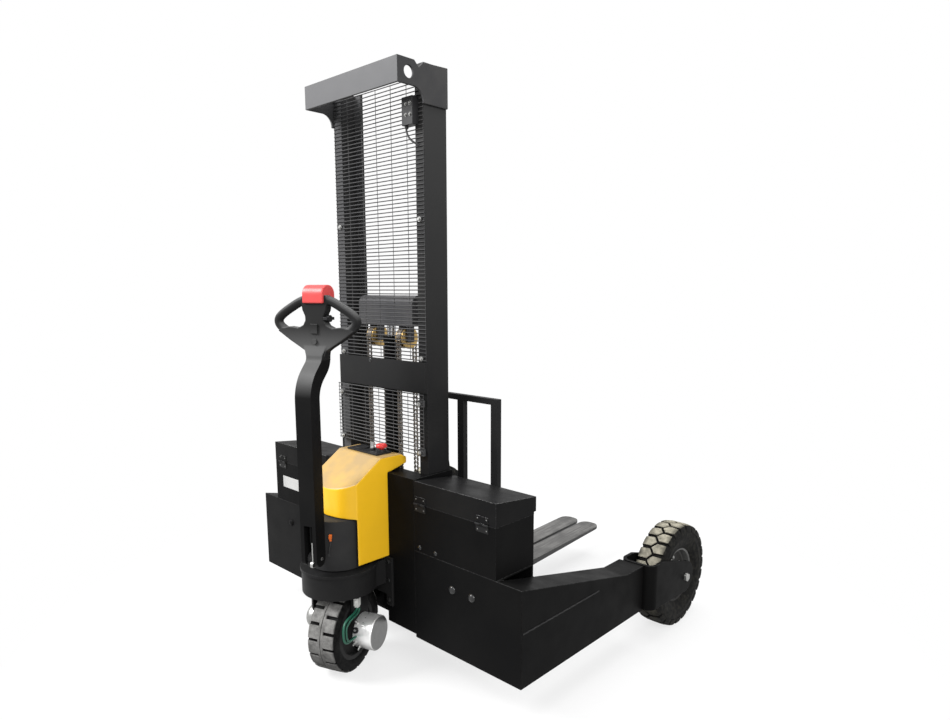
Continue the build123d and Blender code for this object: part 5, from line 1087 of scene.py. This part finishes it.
def head_plug():
    """Orange plug that hangs on the steering head, on its short lead."""
    spot = STEERED.inverted() @ truck(61, -199, 505) / MM
    turn = atan2(spot.y, spot.x)
    head_radius = 0.095
    out = STEERED @ Matrix.Rotation(turn, 4, "Z") @ Matrix.Translation((head_radius, 0, 0))
    plug = joined(
        "plug", slab((-1, -5, 498), (9, 5, 512), 1.2, out), slab((1, -3.5, 490), (7, 3.5, 499), 1.0, out),
    )
    finish_piece("head_plug", plug, "steering", ORANGE_PLASTIC, "red_plastic")
    route = [(4, 0, 491), (4, 0, 482), (6, -3, 468), (4, -6, 452), (-2, -8, 440)]
    lead = cord([out @ (Vector(p) * MM) for p in route], 2.4, HOSE_RUBBER, 8)
    clip = slab((-2, -12, 436), (3, -4, 444), 1.0, out)
    finish_piece("head_plug_lead", joined("lead", lead, clip), "steering", HOSE_RUBBER, "hose_rubber")


head_plug()


def battery_tops():
    """Filler caps and terminal posts on both batteries."""
    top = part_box("batteries")[1].z / MM - 0.2
    cap_outline = [(0, 0), (0, 13), (3.5, 13), (4.5, 11.5), (4.5, 4), (3.5, 3), (3.5, 0)]
    post_outline = [(0, 0), (0, 11), (2, 11), (2.4, 8), (6, 7.4), (6.4, 6.8), (6.4, 0)]
    caps, posts = [], []
    for side in SIDES:
        cap = lathe(cap_outline, UPRIGHT, 16)
        row = grown(ROW, cap, BLACK_PLASTIC, Count=6, Step=(side * 0.046, 0, 0))
        row.transform(Matrix.Translation(truck(side * 310, 89, top)))
        caps.append(row)
        for x in (278, 568):
            posts.append(lathe(post_outline, Matrix.Translation(truck(side * x, 40, top)) @ UPRIGHT, 16))
    finish_piece("battery_caps", joined("caps", *caps), "chassis", BLACK_PLASTIC, "black_plastic")
    finish_piece("battery_posts", joined("posts", *posts), "chassis", ZINC, "zinc_steel")


battery_tops()

# -------------------------------- floor, light and camera


def seen_directly(tree):
    """1 for camera rays and for what reflections and clear things show, 0 for plain light."""
    path = new_node(tree, "ShaderNodeLightPath").outputs
    seen = tree_math(tree, "MAXIMUM", path["Is Camera Ray"], path["Is Glossy Ray"])
    return tree_math(tree, "MAXIMUM", seen, path["Is Transmission Ray"])


def build_world():
    """White all round, dimmer as light than as it is seen."""
    world = bpy.data.worlds.new("studio")
    SCENE.world = world
    world.use_nodes = True
    tree = world.node_tree
    as_light, as_seen = 0.52, 1.0
    sockets = {"Factor": seen_directly(tree), "A": as_light, "B": as_seen}
    mix = new_node(tree, "ShaderNodeMix", sockets, data_type="FLOAT")
    background = tree.nodes["Background"].inputs
    feed(tree, background["Strength"], mix.outputs["Result"])
    feed(tree, background["Color"], grey(1))


def build_floor():
    """A white floor that shows only the shadow close to the truck and throws little light back up."""
    bm = bmesh.new()
    bmesh.ops.create_grid(bm, x_segments=1, y_segments=1, size=40)
    floor = added("studio_floor", as_mesh("studio_floor", bm))
    white = grey(0.85)
    f = Finish("white_floor", white, 0.9, specular=0.0)
    tree = f.tree
    near, far = 0.7, 1.7  # metres from the middle, between which the shadow fades
    fade = f.fit(f.length(f.place), near, far, 0.72, 1.0)
    seen = seen_directly(tree)
    f.wear(f.mix(seen, grey(0.25), white))
    glow = f.add("ShaderNodeEmission").outputs[0]
    mix = f.add("ShaderNodeMixShader", {0: f.times(seen, fade), 1: f.shader.outputs[0], 2: glow})
    feed(tree, tree.nodes["Material Output"].inputs["Surface"], mix.outputs[0])
    floor.data.materials.append(f.material)


def lamp(name, place, target, size, power):
    """A round area lamp at a place, aimed at a target."""
    data = bpy.data.lights.new(name, "AREA")
    data.shape = "DISK"
    data.size = size
    data.energy = power
    obj = added(name, data)
    obj.location = place
    obj.rotation_mode = "QUATERNION"
    obj.rotation_quaternion = (Vector(target) - Vector(place)).to_track_quat("-Z", "Y")


def build_camera():
    """The camera that was solved from the photo."""
    data = bpy.data.cameras.new("photo_camera")
    data.sensor_width = 36.0
    data.lens = 25.835
    data.shift_x = -0.00923
    data.shift_y = 0.0389
    data.clip_end = 200
    camera = added("photo_camera", data)
    camera.location = TRUCK @ Vector((1.8738, -1.4204, 1.3010))
    camera.rotation_euler = (radians(81.052), 0, radians(42.812))
    SCENE.camera = camera


build_world()
build_floor()
build_camera()
lamp("key_lamp", (-2.6, -4.2, 4.4), (0, -0.2, 0.9), size=2.6, power=500)
lamp("fill_lamp", (4.2, -2.2, 3.2), (0, 0, 0.8), size=3.0, power=160)
lamp("top_lamp", (0.6, 0.8, 5.2), (0, 0, 0.8), size=3.2, power=150)
SCENE.view_settings.view_transform = "Standard"
